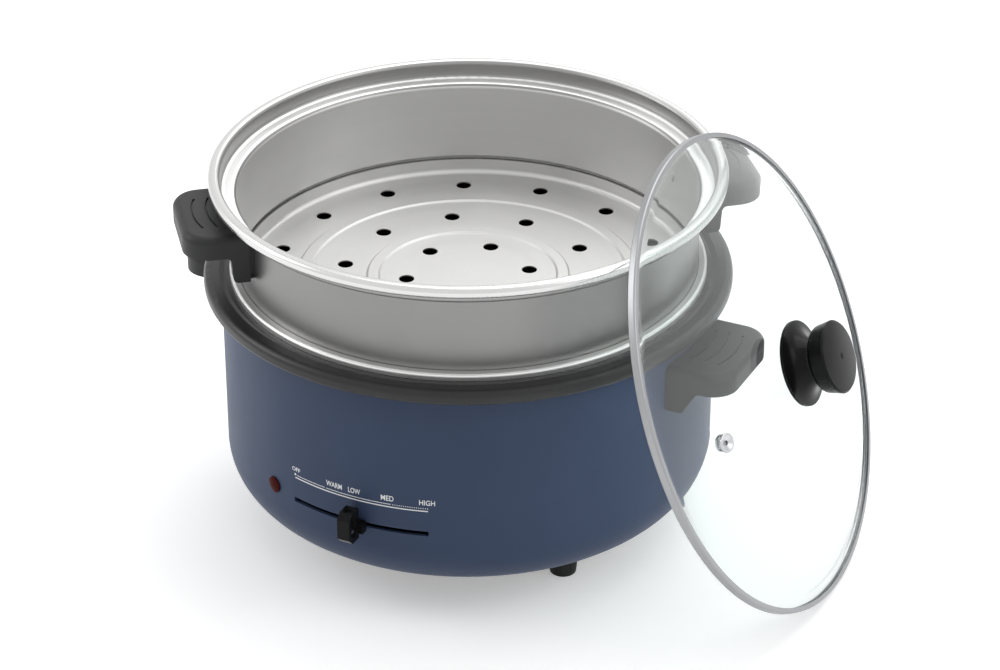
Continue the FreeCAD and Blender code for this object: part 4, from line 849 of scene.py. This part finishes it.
class Look(Enum):
    """The finishes of this pot's parts."""

    SHELL_PAINT = Coating("navy_powder_coat", color=(0.040, 0.062, 0.120),
                          worn=(0.11, 0.13, 0.18), roughness=0.45, grit=0.05, drift=0.05,
                          fine=2600.0, broad=14.0, relief=0.00002, relief_strength=0.35,
                          wear=0.25, wear_radius=0.0008, specular=0.22)
    BLACK_MOULDING = Coating("black_moulded_plastic", color=(0.019, 0.0192, 0.0198),
                             worn=(0.06, 0.06, 0.062), roughness=0.48, fine=1900.0,
                             broad=40.0, relief=0.00003, relief_strength=0.4, wear=0.35,
                             specular=0.35)
    KNOB_MOULDING = Coating("black_glossy_plastic", color=(0.006, 0.0061, 0.0065),
                            worn=(0.05, 0.05, 0.052), roughness=0.20, grit=0.03,
                            fine=900.0, broad=60.0, relief=0.00001, relief_strength=0.15,
                            wear=0.3, specular=0.12)
    BRACKET_LACQUER = Coating("black_lacquered_bracket", color=(0.015, 0.015, 0.016),
                              worn=(0.12, 0.12, 0.12), roughness=0.32, fine=1600.0,
                              relief=0.00001, relief_strength=0.2, wear=0.4)
    NON_STICK = Coating("black_non_stick", color=(0.021, 0.021, 0.0215),
                        worn=(0.05, 0.05, 0.05), roughness=0.34, grit=0.04, drift=0.15,
                        fine=1300.0, broad=20.0, relief=0.000015, relief_strength=0.3,
                        fleck=(0.035, 0.035, 0.036), wear=0.2, specular=0.35)
    BASE_LACQUER = Coating("black_base_lacquer", color=(0.025, 0.025, 0.027),
                           worn=(0.15, 0.15, 0.15), roughness=0.38, fine=1200.0,
                           relief=0.00002, wear=0.4)
    RUBBER = Coating("black_rubber", color=(0.02, 0.02, 0.02), worn=(0.06, 0.06, 0.06),
                     roughness=0.7, fine=1800.0, relief=0.00004, relief_strength=0.5,
                     wear=0.3, specular=0.3)
    SEAL = Coating("milky_silicone", color=(0.55, 0.54, 0.5), worn=(0.6, 0.6, 0.58),
                   roughness=0.5, fine=1500.0, relief=0.00002, wear=0.1)
    LAMP_LENS = Coating("red_lamp_lens", color=(0.060, 0.008, 0.006), worn=(0.09, 0.02, 0.02),
                        roughness=0.30, grit=0.03, drift=0.2, fine=700.0, broad=300.0,
                        relief=0.00003, wear=0.2, specular=0.03)
    PRINT = Coating("white_screen_print", color=(0.93, 0.94, 0.95), worn=(0.5, 0.52, 0.56),
                    roughness=0.5, drift=0.03, fine=2500.0, relief=0.000005, wear=0.0)
    SPUN_STEEL = TurnedMetal("spun_stainless_steel", color=(0.60, 0.598, 0.59),
                             roughness=0.46, ring_gloss=0.02, ring_tone=0.02,
                             relief=0.000004, relief_strength=0.1,
                             # Painted light by radius: shade on the outside of the wall, a
                             # highlight on the foot bead and ledge, shade on the step under the
                             # rim, a highlight on the rim bead.
                             painted_light_bands=(PaintedLightBand(0.12955, (0.26, 0.258, 0.256), 0.36),
                                    PaintedLightBand(0.1306, (0.82, 0.82, 0.815), 0.42),
                                    PaintedLightBand(0.1376, (0.32, 0.318, 0.315), 0.36),
                                    PaintedLightBand(0.1394, (0.66, 0.66, 0.655), 0.24)))
    SHIELD_STEEL = TurnedMetal("aluminised_steel", color=(0.5, 0.5, 0.5), roughness=0.42)
    PLATE = TurnedMetal("turned_aluminium", color=(0.62, 0.62, 0.63), roughness=0.36,
                        pitch=1400.0, relief=0.00002)
    PLATED_STEEL = CastMetal("zinc_plated_steel", color=(0.62, 0.63, 0.65),
                             tarnish=(0.4, 0.4, 0.42), roughness=0.26)
    SHEATH = CastMetal("element_sheath", color=(0.28, 0.27, 0.26),
                       tarnish=(0.16, 0.13, 0.12), roughness=0.4)
    BRASS = CastMetal("nickelled_brass", color=(0.72, 0.6, 0.36), tarnish=(0.42, 0.32, 0.18),
                      roughness=0.25)
    GLASS = ClearGlass("clear_lid_glass")
    LAMP_GLASS = ClearGlass("lamp_glass", color=(0.95, 0.55, 0.4), roughness=0.05)


@dataclass
class Palette:
    """Builds each finish once."""

    made: dict[Finish, bpy.types.Material] = field(default_factory=dict)

    def get(self, finish: Finish) -> bpy.types.Material:
        """Returns a finish's material.

        Args:
            finish: The finish.

        Returns:
            The material, made on first use.
        """
        if finish not in self.made:
            self.made[finish] = finish.build()
            log.info("material %s", finish.title)
        return self.made[finish]


# ---------------------------------------------------------------------------------------------
# Sub-assemblies

@dataclass
class SubAssembly(ABC):
    """The parts that move with one body of the frame."""

    frame: dict[str, Any]
    palette: Palette
    body: str = ""
    corner_gap: float = 0.000002
    crease_angle: float = 32.0

    @abstractmethod
    def dress(self) -> None:
        """Gives every part its finish and adds the pieces that the frame lacks."""

    def coat(self, finish: Finish, *names: str) -> None:
        """Gives nodes of the frame a finish and even shading.

        Args:
            finish: The finish.
            *names: The nodes.
        """
        for name in names:
            node = self.frame["nodes"][name]
            node.data.materials.clear()
            node.data.materials.append(self.palette.get(finish))
            self.even_out(node)
            log.info("%s: %s", name, finish.title)

    def even_out(self, node: bpy.types.Object) -> None:
        """Shades a node smooth between its creases.

        Loose corners nearer than corner_gap are merged, edges that turn by more than the crease
        angle are split, and each corner's normal is the mean of its faces' normals, each
        weighted by the face's area and by its angle at that corner.

        Args:
            node: The node.
        """
        weld = node.modifiers.new("merged_corners", "WELD")
        weld.merge_threshold = self.corner_gap
        creases = node.modifiers.new("creases", "EDGE_SPLIT")
        creases.split_angle = math.radians(self.crease_angle)
        normals = node.modifiers.new("even_normals", "WEIGHTED_NORMAL")
        normals.mode = "FACE_AREA_WITH_ANGLE"
        normals.keep_sharp = True

    def add(self, name: str, surface: Surface, finish: Finish, slot: str, smooth: bool = False,
            stands_for: str | None = None) -> None:
        """Adds a piece that moves with the body.

        Args:
            name: The piece's name.
            surface: Its shape, in place.
            finish: Its finish.
            slot: Not used.
            smooth: Shade it smooth.
            stands_for: Node of the frame that it replaces.
        """
        piece = make_object(name, surface, smooth)
        piece.data.materials.append(self.palette.get(finish))
        if smooth:
            self.even_out(piece)
        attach(piece, self.body)
        if stands_for is not None:
            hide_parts(stands_for)
        log.info("piece %s on %s: %d faces", name, self.body, len(surface.faces))

    def add_screw(self, node: str, axis: Vector, shank: float, head: float) -> None:
        """Replaces a plain screw by one with a cross recess.

        The node's reach along the axis gives the length, and its reach across gives the head's
        radius and the line that the screw lies on.

        Args:
            node: The plain screw.
            axis: From its tip to its head.
            shank: Radius of its shank.
            head: Height of its head.
        """
        place, radius, length = self.measured(node, axis)
        screw = ScrewShape(radius, length, shank, head).surface().moved(place)
        self.add(f"{node}_cross_head", screw, Look.PLATED_STEEL.value, self.slot_of(node),
                 smooth=True, stands_for=node)

    def corners(self, node: str) -> np.ndarray:
        """Reads the corners of a node's mesh.

        Args:
            node: The node.

        Returns:
            One row to a corner.
        """
        mesh = self.frame["nodes"][node].data
        points = np.empty(len(mesh.vertices) * 3)
        mesh.vertices.foreach_get("co", points)
        return points.reshape(-1, 3)

    def slot_of(self, node: str) -> str:
        """The record's material slot of a node."""
        return next(part["material_slot"] for part in self.frame["record"]["subparts"]
                    if part["node"] == node)

    def measured(self, node: str, axis: Vector) -> tuple[Matrix, float, float]:
        """Measures a round node along its axis.

        Args:
            node: The node.
            axis: Its direction, from its foot to its head.

        Returns:
            The place whose origin is the middle of the foot and whose Z is the axis, the
            largest radius, and the length.
        """
        points = self.corners(node)
        along = points @ np.array(axis)
        across = points - np.outer(along, axis)
        middle = (across.min(axis=0) + across.max(axis=0)) / 2
        radius = float(np.linalg.norm(across - middle, axis=1).max())
        foot = Vector(middle) + axis * float(along.min())
        place = Matrix.Translation(foot) @ axis.to_track_quat("Z", "Y").to_matrix().to_4x4()
        return place, radius, float(np.ptp(along))

    def curve_grooves(self, node: str, degrees: float) -> None:
        """Curves the inner sides of the finger grooves in a handle's top.

        Args:
            node: The handle.
            degrees: The way that it points, from +X towards +Y.
        """
        outward = np.array([math.cos(math.radians(degrees)), math.sin(math.radians(degrees)), 0])
        points = self.corners(node)
        webs = GrooveWebs(tip=float((points @ outward).max()), top=float(points[:, 2].max()))
        turn = Matrix.Rotation(math.radians(degrees), 4, "Z")
        self.add(f"{node}_groove_sides", webs.surface().moved(turn), Look.BLACK_MOULDING.value,
                 self.slot_of(node))


@dataclass
class ScrewShape:
    """A pan-head screw with a cross recess, tip at the origin and head up."""

    radius: float
    length: float
    shank: float
    head: float
    arm_width: float = 0.13
    arm_length: float = 0.62
    ramp: float = 0.05
    recess: float = 0.6
    crown: float = 0.35
    point_radius: float = 0.6
    point_height: float = 0.4
    rings: int = 12
    segments: int = 48

    def surface(self) -> Surface:
        """Works out the screw.

        The head's top is z = length - crown head (r / radius)^2, lowered by recess times head
        where x or y lies within arm_width and the other within arm_length of the axis. Arms
        and ramps are shares of the radius, and the point's sizes are shares of the shank's.

        Returns:
            The closed surface.
        """
        share = np.linspace(1.0, 0.0, self.rings)
        shoulder = self.length - self.head
        radii = np.concatenate([[0.0, self.point_radius * self.shank, self.shank, self.shank,
                                 self.radius], self.radius * share])
        heights = np.concatenate([[0.0, 0.0, self.point_height * self.shank, shoulder,
                                   shoulder], self.length - self.crown * self.head * share ** 2])
        made = lathe(radii, heights, self.segments)
        flat = np.abs(made.points[:, :2]) / self.radius
        narrow, wide = flat.min(axis=1), flat.max(axis=1)
        inside = np.minimum(self.arm_width - narrow, self.arm_length - wide) / self.ramp
        depth = self.recess * self.head * np.clip(inside, 0.0, 1.0)
        made.points[:, 2] -= np.where(made.points[:, 2] > shoulder, depth, 0.0)
        return made


@dataclass
class GrooveWebs:
    """The webs that narrow a handle's three finger grooves to curved strips of even width."""

    tip: float
    top: float
    count: int = 3
    margin: float = 0.0085
    spacing: float = 0.008
    bend: float = 0.048
    width: float = 0.0012
    depth: float = 0.001
    half_angle: float = 22.0
    hold: float = 0.00005
    flush: float = 0.00001
    steps: int = 20

    def web(self, row: int) -> Surface:
        """One web, between the straight inner side of a groove and its curve.

        Section t of the web lies at y = r sin t, from x = r cos(half_angle) to x = r cos t, with
        r = bend - width / 2 and x from the centre of the groove's curve.

        Args:
            row: Which groove, from the tip inwards.

        Returns:
            The closed web.
        """
        radius = self.bend - self.width / 2
        centre = self.tip - self.margin - row * self.spacing - self.bend
        angle = np.radians(np.linspace(-self.half_angle, self.half_angle, self.steps + 1))
        inner = np.full(self.steps + 1, radius * math.cos(angle[-1]) - self.hold)
        outer = radius * np.cos(angle)
        x = centre + np.column_stack([inner, outer, outer, inner])
        y = np.repeat(radius * np.sin(angle)[:, None], 4, axis=1)
        low, high = self.top - self.depth - self.hold, self.top - self.flush
        z = np.tile([low, low, high, high], (self.steps + 1, 1))
        return run(np.stack([x, y, z], axis=-1))

    def surface(self) -> Surface:
        """The webs of a handle that points along +X."""
        return joined(self.web(row) for row in range(self.count))


@dataclass
class RimSkin:
    """The spun rim, wall and lower bead of the steamer, turned as one smooth skin."""

    rim: float
    top: float
    rim_width: float = 0.0066
    wall_inset: float = 0.015
    steel: float = 0.0008
    shoulder_drop: float = 0.0108
    bead_height: float = 0.006
    bead_round: float = 0.0026
    shoulder_round: float = 0.003
    foot_drop: float = 0.061
    foot_bead: float = 0.005
    foot_bead_height: float = 0.004
    foot_bead_round: float = 0.0018
    foot_lift: float = 0.00015
    lap: float = 0.0001
    proud: float = 0.00009
    corner_fill: float = 0.0004
    arc_steps: int = 8
    segments: int = 288

    def surface(self) -> Surface:
        """Works out the skin.

        Its outline goes up the outside from the lower bead to the rim, over the rim and down the
        inside, each stretch proud of the steel, and back down within the sheet's thickness. The
        corners are rounded with the sheet's own bends, and the outline is turned round the axis.

        Returns:
            The closed surface.
        """
        out, steel = self.proud, self.steel
        mouth, wall = self.rim - self.rim_width, self.rim - self.wall_inset
        shoulder, foot = self.top - self.shoulder_drop, self.top - self.foot_drop
        inner_round, outer_round = self.shoulder_round - steel - out, self.shoulder_round + out
        bead_round = self.bead_round + out
        bead_bottom = self.top - self.bead_height
        foot_side, foot_top = wall + self.foot_bead, foot + self.foot_bead_height
        foot_end, wall_end = foot + self.foot_lift, foot_top - steel + self.lap
        corners = np.array([
            (foot_side + out, foot_end, 0.0),
            (foot_side + out, foot_top + out, self.foot_bead_round + out),
            (wall + out, foot_top + out, 0.0),
            (wall + out, shoulder - steel - out, inner_round),
            (mouth + steel + out, shoulder - steel - out, outer_round),
            (mouth + steel + out, bead_bottom - out, 0.0),
            (self.rim + out, bead_bottom - out, bead_round),
            (self.rim + out, self.top + out, bead_round),
            (mouth - out, self.top + out, bead_round),
            (mouth - out, shoulder + out, inner_round + self.corner_fill),
            (wall - steel - out, shoulder + out, outer_round),
            (wall - steel - out, wall_end, 0.0),
            (wall - steel / 2, wall_end, 0.0),
            (wall - steel / 2, foot_top - steel / 2, 0.0),
            (foot_side - steel / 2, foot_top - steel / 2, 0.0),
            (foot_side - steel / 2, foot_end, 0.0),
        ])
        return revolved(rounded_loop(corners, self.arc_steps), self.segments)


@dataclass
class RibbedRing:
    """A ring with fine upright ribs, standing on z = 0."""

    inside: float = 0.0126
    outside: float = 0.0133
    height: float = 0.0023
    ribs: int = 52
    rib_depth: float = 0.0004
    steps: int = 6

    def surface(self) -> Surface:
        """Works out the ring.

        Its outer radius is outside - rib_depth (1 + cos(ribs angle)) / 2, and its section is a
        rectangle.

        Returns:
            The closed surface.
        """
        angle = np.linspace(0.0, 2 * np.pi, self.ribs * self.steps, endpoint=False)
        outer = self.outside - self.rib_depth * (1 + np.cos(self.ribs * angle)) / 2
        inner = np.full_like(outer, self.inside)
        radii = np.column_stack([inner, inner, outer, outer])
        z = np.tile([0.0, self.height, self.height, 0.0], (len(angle), 1))
        grid = np.stack([radii * np.cos(angle)[:, None], radii * np.sin(angle)[:, None], z],
                        axis=-1)
        return Surface(grid.reshape(-1, 3), grid_faces(len(angle), 4, wrap_rows=True))


@dataclass
class PrintedScale:
    """The white scale on the shell, above the slider's slot.

    Each word has its text, its bearing and its width. Runs and dots go from bearing to bearing.
    """

    shell: float
    words: tuple[tuple[str, float, float], ...] = (
        ("OFF", -16.5, 0.0062), ("WARM", -5.45, 0.0103), ("LOW", -0.2, 0.0074),
        ("MED", 7.9, 0.0074), ("HIGH", 17.1, 0.0088))
    word_level: float = 0.0825
    word_height: float = 0.0033
    off_height: float = 0.0025
    start: float = -16.8
    end: float = 17.3
    line_level: float = 0.0771
    line_width: float = 0.00065
    fine_level: float = 0.0788
    fine_width: float = 0.00035
    fine_runs: tuple[tuple[float, float], ...] = ((-16.2, -8.0), (-7.6, 8.75))
    dots: tuple[float, float] = (9.2, 17.2)
    dot_count: int = 17
    dot_radius: float = 0.00028
    dot_corners: int = 14
    off_dot_radius: float = 0.0007
    ink: float = 0.00016

    def line(self, start: float, end: float, level: float, width: float) -> Surface:
        """A printed line round the shell, with a bend at about every degree.

        Args:
            start: Bearing of its first end.
            end: Bearing of its other end.
            level: Height of its middle.
            width: Its width.

        Returns:
            The closed line.
        """
        length = math.radians(end - start) * self.shell
        flat = bar(length, width, self.ink, max(2, round(end - start)))
        return flat.wrapped((start + end) / 2, level, self.shell)

    def dot(self, bearing: float, level: float, radius: float) -> Surface:
        """A printed dot: a short drum, whose profile is square.

        Args:
            bearing: Where it lies round the shell.
            level: Height of its middle.
            radius: Its radius.

        Returns:
            The closed dot.
        """
        half = self.ink / 2
        drum = lathe(np.array([0.0, radius, radius, 0.0]),
                     np.array([-half, -half, half, half]), self.dot_corners)
        return drum.wrapped(bearing, level, self.shell)

    def word(self, text: str, bearing: float, width: float) -> Surface:
        """A printed word, bent to the shell.

        Args:
            text: The word.
            bearing: Bearing of its middle.
            width: Its width.

        Returns:
            The closed letters.
        """
        height = self.off_height if text == "OFF" else self.word_height
        return lettering(text, width, height, self.ink).wrapped(bearing, self.word_level,
                                                                self.shell)


@dataclass
class Housing(SubAssembly):
    """The painted shell, its base, heating plate, pot handles, pilot lamp and mains inlet."""

    body: str = "housing"
    post_screw_shank: float = 0.0015
    foot_screw_shank: float = 0.002
    inlet_screw_shank: float = 0.0015
    screw_head: float = 0.002

    def dress(self) -> None:
        """Dresses the housing."""
        self.coat(Look.SHELL_PAINT.value, "outer_housing")
        self.coat(Look.BASE_LACQUER.value, "base_cover")
        self.coat(Look.SHIELD_STEEL.value, "heat_shield")
        self.coat(Look.PLATE.value, "heating_plate")
        self.coat(Look.SHEATH.value, "heating_element")
        self.coat(Look.BLACK_MOULDING.value, "thermostat_body", "inlet_socket",
                  "right_pot_handle", "left_pot_handle")
        self.coat(Look.LAMP_LENS.value, "lamp_lens")
        self.coat(Look.LAMP_GLASS.value, "lamp_bulb")
        self.coat(Look.BRASS.value, "element_terminal_1", "element_terminal_2",
                  "inlet_pin_1", "inlet_pin_2", "inlet_pin_3")
        for number in (1, 2, 3):
            self.coat(Look.RUBBER.value, f"rubber_foot_{number}")
            self.coat(Look.PLATED_STEEL.value, f"support_post_{number}")
            self.add_screw(f"foot_screw_{number}", Vector((0, 0, -1)), self.foot_screw_shank,
                           self.screw_head)
            self.add_screw(f"post_screw_{number}", Vector((0, 0, -1)), self.post_screw_shank,
                           self.screw_head)
        for number in (1, 2):
            self.add_screw(f"inlet_screw_{number}", Vector((0, 1, 0)), self.inlet_screw_shank,
                           self.screw_head)
            self.coat(Look.PLATED_STEEL.value, f"right_pot_handle_screw_{number}",
                      f"left_pot_handle_screw_{number}")
        for hand, degrees in (("right", 0.0), ("left", 180.0)):
            self.curve_grooves(f"{hand}_pot_handle", degrees)
        self.print_scale()

    def print_scale(self) -> None:
        """Prints the temperature scale on the shell."""
        low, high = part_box("outer_housing")
        scale = PrintedScale(shell=(high[0] - low[0]) / 2)
        lines = [scale.line(scale.start, scale.end, scale.line_level, scale.line_width)]
        lines += [scale.line(start, end, scale.fine_level, scale.fine_width)
                  for start, end in scale.fine_runs]
        self.add("scale_lines", joined(lines), Look.PRINT.value, "scale_print")
        dots = [scale.dot(bearing, scale.fine_level, scale.dot_radius)
                for bearing in np.linspace(*scale.dots, scale.dot_count)]
        dots.append(scale.dot(scale.start, scale.fine_level + scale.off_dot_radius / 2,
                              scale.off_dot_radius))
        self.add("scale_dots", joined(dots), Look.PRINT.value, "scale_print")
        for text, bearing, width in scale.words:
            self.add(f"scale_word_{text.lower()}", scale.word(text, bearing, width),
                     Look.PRINT.value, "scale_print")


@dataclass
class Slider(SubAssembly):
    """The temperature slider with its lever and the thermostat's spindle."""

    body: str = "lever"

    def dress(self) -> None:
        """Dresses the slider."""
        self.coat(Look.KNOB_MOULDING.value, "slider_knob")
        self.coat(Look.PLATED_STEEL.value, "thermostat_spindle", "lever_arm", "lever_screw")


@dataclass
class CookingPot(SubAssembly):
    """The loose non-stick pot."""

    body: str = "pot"

    def dress(self) -> None:
        """Dresses the pot."""
        self.coat(Look.NON_STICK.value, "inner_pot")


@dataclass
class Steamer(SubAssembly):
    """The steel steamer insert with its brackets, rivets and handles."""

    body: str = "steamer"
    crease_angle: float = 50.0
    turn: float = 38.4

    def dress(self) -> None:
        """Dresses the steamer."""
        self.coat(Look.SPUN_STEEL.value, "steamer_shell")
        points = self.corners("steamer_shell")
        skin = RimSkin(rim=float(np.linalg.norm(points[:, :2], axis=1).max()),
                       top=float(points[:, 2].max()))
        self.add("steamer_rim_skin", skin.surface(), Look.SPUN_STEEL.value,
                 self.slot_of("steamer_shell"), smooth=True)
        for hand, degrees in (("right", self.turn), ("left", self.turn + 180)):
            self.curve_grooves(f"{hand}_steamer_handle", degrees)
            self.coat(Look.BRACKET_LACQUER.value, f"{hand}_steamer_bracket")
            self.coat(Look.BLACK_MOULDING.value, f"{hand}_steamer_handle")
            self.coat(Look.PLATED_STEEL.value, f"{hand}_steamer_rivet_1",
                      f"{hand}_steamer_rivet_2")


@dataclass
class Lid(SubAssembly):
    """The loose glass lid with its steel band, steam vent and knob."""

    body: str = "lid"
    knob_screw_shank: float = 0.0021
    knob_screw_head: float = 0.0024

    def axis(self) -> Vector:
        """The direction of the knob, out of the lid, from the joint that pulls it away."""
        joint = next(item for item in self.frame["joints"] if item["name"] == "lid_pull")
        return Vector(joint["axis"]).normalized()

    def turned_steel(self) -> Finish:
        """Makes the band's steel, whose rings run round the lid's own axis.

        Returns:
            The finish.
        """
        low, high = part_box("lid_band")
        turn = self.axis().to_track_quat("Z", "Y").to_euler()
        return TurnedMetal("lid_band_steel", color=(0.34, 0.345, 0.355), roughness=0.30,
                           pitch=1500.0, axis_point=tuple((np.array(low) + high) / 2),
                           axis_turn=tuple(turn))

    def dress(self) -> None:
        """Dresses the lid."""
        self.coat(Look.GLASS.value, "lid_glass")
        self.coat(self.turned_steel(), "lid_band")
        self.coat(Look.KNOB_MOULDING.value, "lid_knob", "knob_escutcheon")
        self.coat(Look.SEAL.value, "glass_seal")
        self.coat(Look.PLATED_STEEL.value, "vent_grommet", "knob_washer")
        self.add_screw("knob_screw", -self.axis(), self.knob_screw_shank, self.knob_screw_head)
        foot, _, _ = self.measured("lid_knob", self.axis())
        self.add("knob_collar_ribs", RibbedRing().surface().moved(foot),
                 Look.BLACK_MOULDING.value, self.slot_of("lid_knob"))


# ---------------------------------------------------------------------------------------------
# Studio

@dataclass(frozen=True)
class Lamp:
    """A soft square lamp aimed at the pot."""

    name: str
    place: Point
    size: float
    power: float


@dataclass
class Studio:
    """A pale floor, a white surround, three soft lamps and the camera."""

    target: Point = (0.03, 0.0, 0.11)
    floor_size: float = 12.0
    floor_color: float = 0.86
    floor_drift: float = 1.01
    floor_cloud: float = 3.0
    floor_lift: float = 0.35
    front_light: float = 0.27
    back_light: float = 0.95
    light_rise: Point = (0.0, 0.9, 0.6)
    rise_start: float = -0.5
    rise_end: float = 0.7
    lamps: tuple[Lamp, ...] = (
        Lamp("window_lamp", (-2.3, -0.7, 1.5), 1.4, 18.0),
        Lamp("side_lamp", (2.2, 0.2, 1.8), 1.4, 12.0),
        Lamp("top_lamp", (0.1, 1.3, 2.1), 2.2, 24.0),
    )
    camera_place: Point = (0.7632, -1.5202, 1.0713)
    camera_turn: float = 26.05
    camera_drop: float = 29.496
    camera_roll: float = -0.135
    focal_length: float = 122.4
    sensor: float = 36.0

    def build(self) -> None:
        """Builds the floor, the surround, the lamps and the camera."""
        self.add_floor()
        self.add_surround()
        for lamp in self.lamps:
            self.add_lamp(lamp)
        self.add_camera()

    @staticmethod
    def seen(graph: Graph) -> bpy.types.NodeSocket:
        """Tells the rays that the camera sees, straight, in gloss or through glass.

        Args:
            graph: The material's or the world's graph.

        Returns:
            One for such a ray, and zero for others.
        """
        path = graph.add("LightPath").outputs
        mirrored = graph.math("MAXIMUM", path["Is Glossy Ray"], path["Is Transmission Ray"])
        return graph.math("MAXIMUM", path["Is Camera Ray"], mirrored)

    def add_floor(self) -> None:
        """Lays a pale floor, lifted a little towards white and still holding shadows."""
        half = self.floor_size / 2
        corners = np.array([[-half, -half, 0], [half, -half, 0], [half, half, 0],
                            [-half, half, 0]], float)
        floor = make_object("studio_floor", Surface(corners, [[0, 1, 2, 3]]), False)
        material = bpy.data.materials.new("studio_floor_paint")
        material.use_nodes = True
        graph = Graph(material.node_tree)
        shader = next(node for node in graph.tree.nodes if node.type == "BSDF_PRINCIPLED")
        tone = graph.noise(graph.add("TexCoord").outputs["Object"], self.floor_cloud, 3.0, 0.5)
        color = graph.blend(tone, opaque((self.floor_color,) * 3),
                            opaque((self.floor_color * self.floor_drift,) * 3))
        lift = graph.math("MULTIPLY", self.seen(graph), self.floor_lift)
        graph.feed(shader, Base_Color=color, Roughness=0.9, Specular_IOR_Level=0.1,
                   Emission_Color=opaque(WHITE), Emission_Strength=lift)
        floor.data.materials.append(material)

    def add_surround(self) -> None:
        """Surrounds the scene with plain white light, from dim in front to bright behind.

        With d the direction looked in, the strength rises from front_light to back_light as
        d . light_rise goes from rise_start to rise_end.
        """
        world = bpy.data.worlds.new("studio_surround")
        world.use_nodes = True
        bpy.context.scene.world = world
        graph = Graph(world.node_tree)
        background = next(node for node in graph.tree.nodes if node.type == "BACKGROUND")
        rise = graph.vector("DOT_PRODUCT", graph.add("TexCoord").outputs["Generated"],
                            self.light_rise).outputs["Value"]
        light = graph.remap(rise, self.rise_start, self.rise_end, self.front_light,
                            self.back_light)
        strength = graph.remap(self.seen(graph), 0.0, 1.0, light, 1.0)
        graph.feed(background, Color=opaque(WHITE), Strength=strength)

    def add_lamp(self, lamp: Lamp) -> None:
        """Adds a square area lamp that points at the pot.

        Args:
            lamp: Where it hangs, how large and how strong it is.
        """
        data = bpy.data.lights.new(lamp.name, "AREA")
        data.shape = "SQUARE"
        data.size = lamp.size
        data.energy = lamp.power
        holder = bpy.data.objects.new(lamp.name, data)
        bpy.context.scene.collection.objects.link(holder)
        holder.location = lamp.place
        aim = Vector(self.target) - Vector(lamp.place)
        holder.rotation_euler = aim.to_track_quat("-Z", "Y").to_euler()
        log.info("lamp %s: %.0f W", lamp.name, lamp.power)

    def add_camera(self) -> None:
        """Sets the camera: turned about Z, dropped below the horizon and rolled."""
        data = bpy.data.cameras.new("camera")
        data.sensor_width = self.sensor
        data.lens = self.focal_length
        camera = bpy.data.objects.new("camera", data)
        bpy.context.scene.collection.objects.link(camera)
        turn = (Matrix.Rotation(math.radians(self.camera_turn), 3, "Z")
                @ Matrix.Rotation(math.radians(90 - self.camera_drop), 3, "X")
                @ Matrix.Rotation(math.radians(self.camera_roll), 3, "Z"))
        camera.location = self.camera_place
        camera.rotation_euler = turn.to_euler()
        bpy.context.scene.camera = camera


def main() -> None:
    """Builds the scene."""
    logging.basicConfig(level=logging.INFO, format="%(name)s %(message)s")
    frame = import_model()
    bpy.context.scene.view_settings.view_transform = "Standard"
    palette = Palette()
    for assembly in (Housing, Slider, CookingPot, Steamer, Lid):
        assembly(frame, palette).dress()
    Studio().build()


if __name__ == "__main__":
    main()
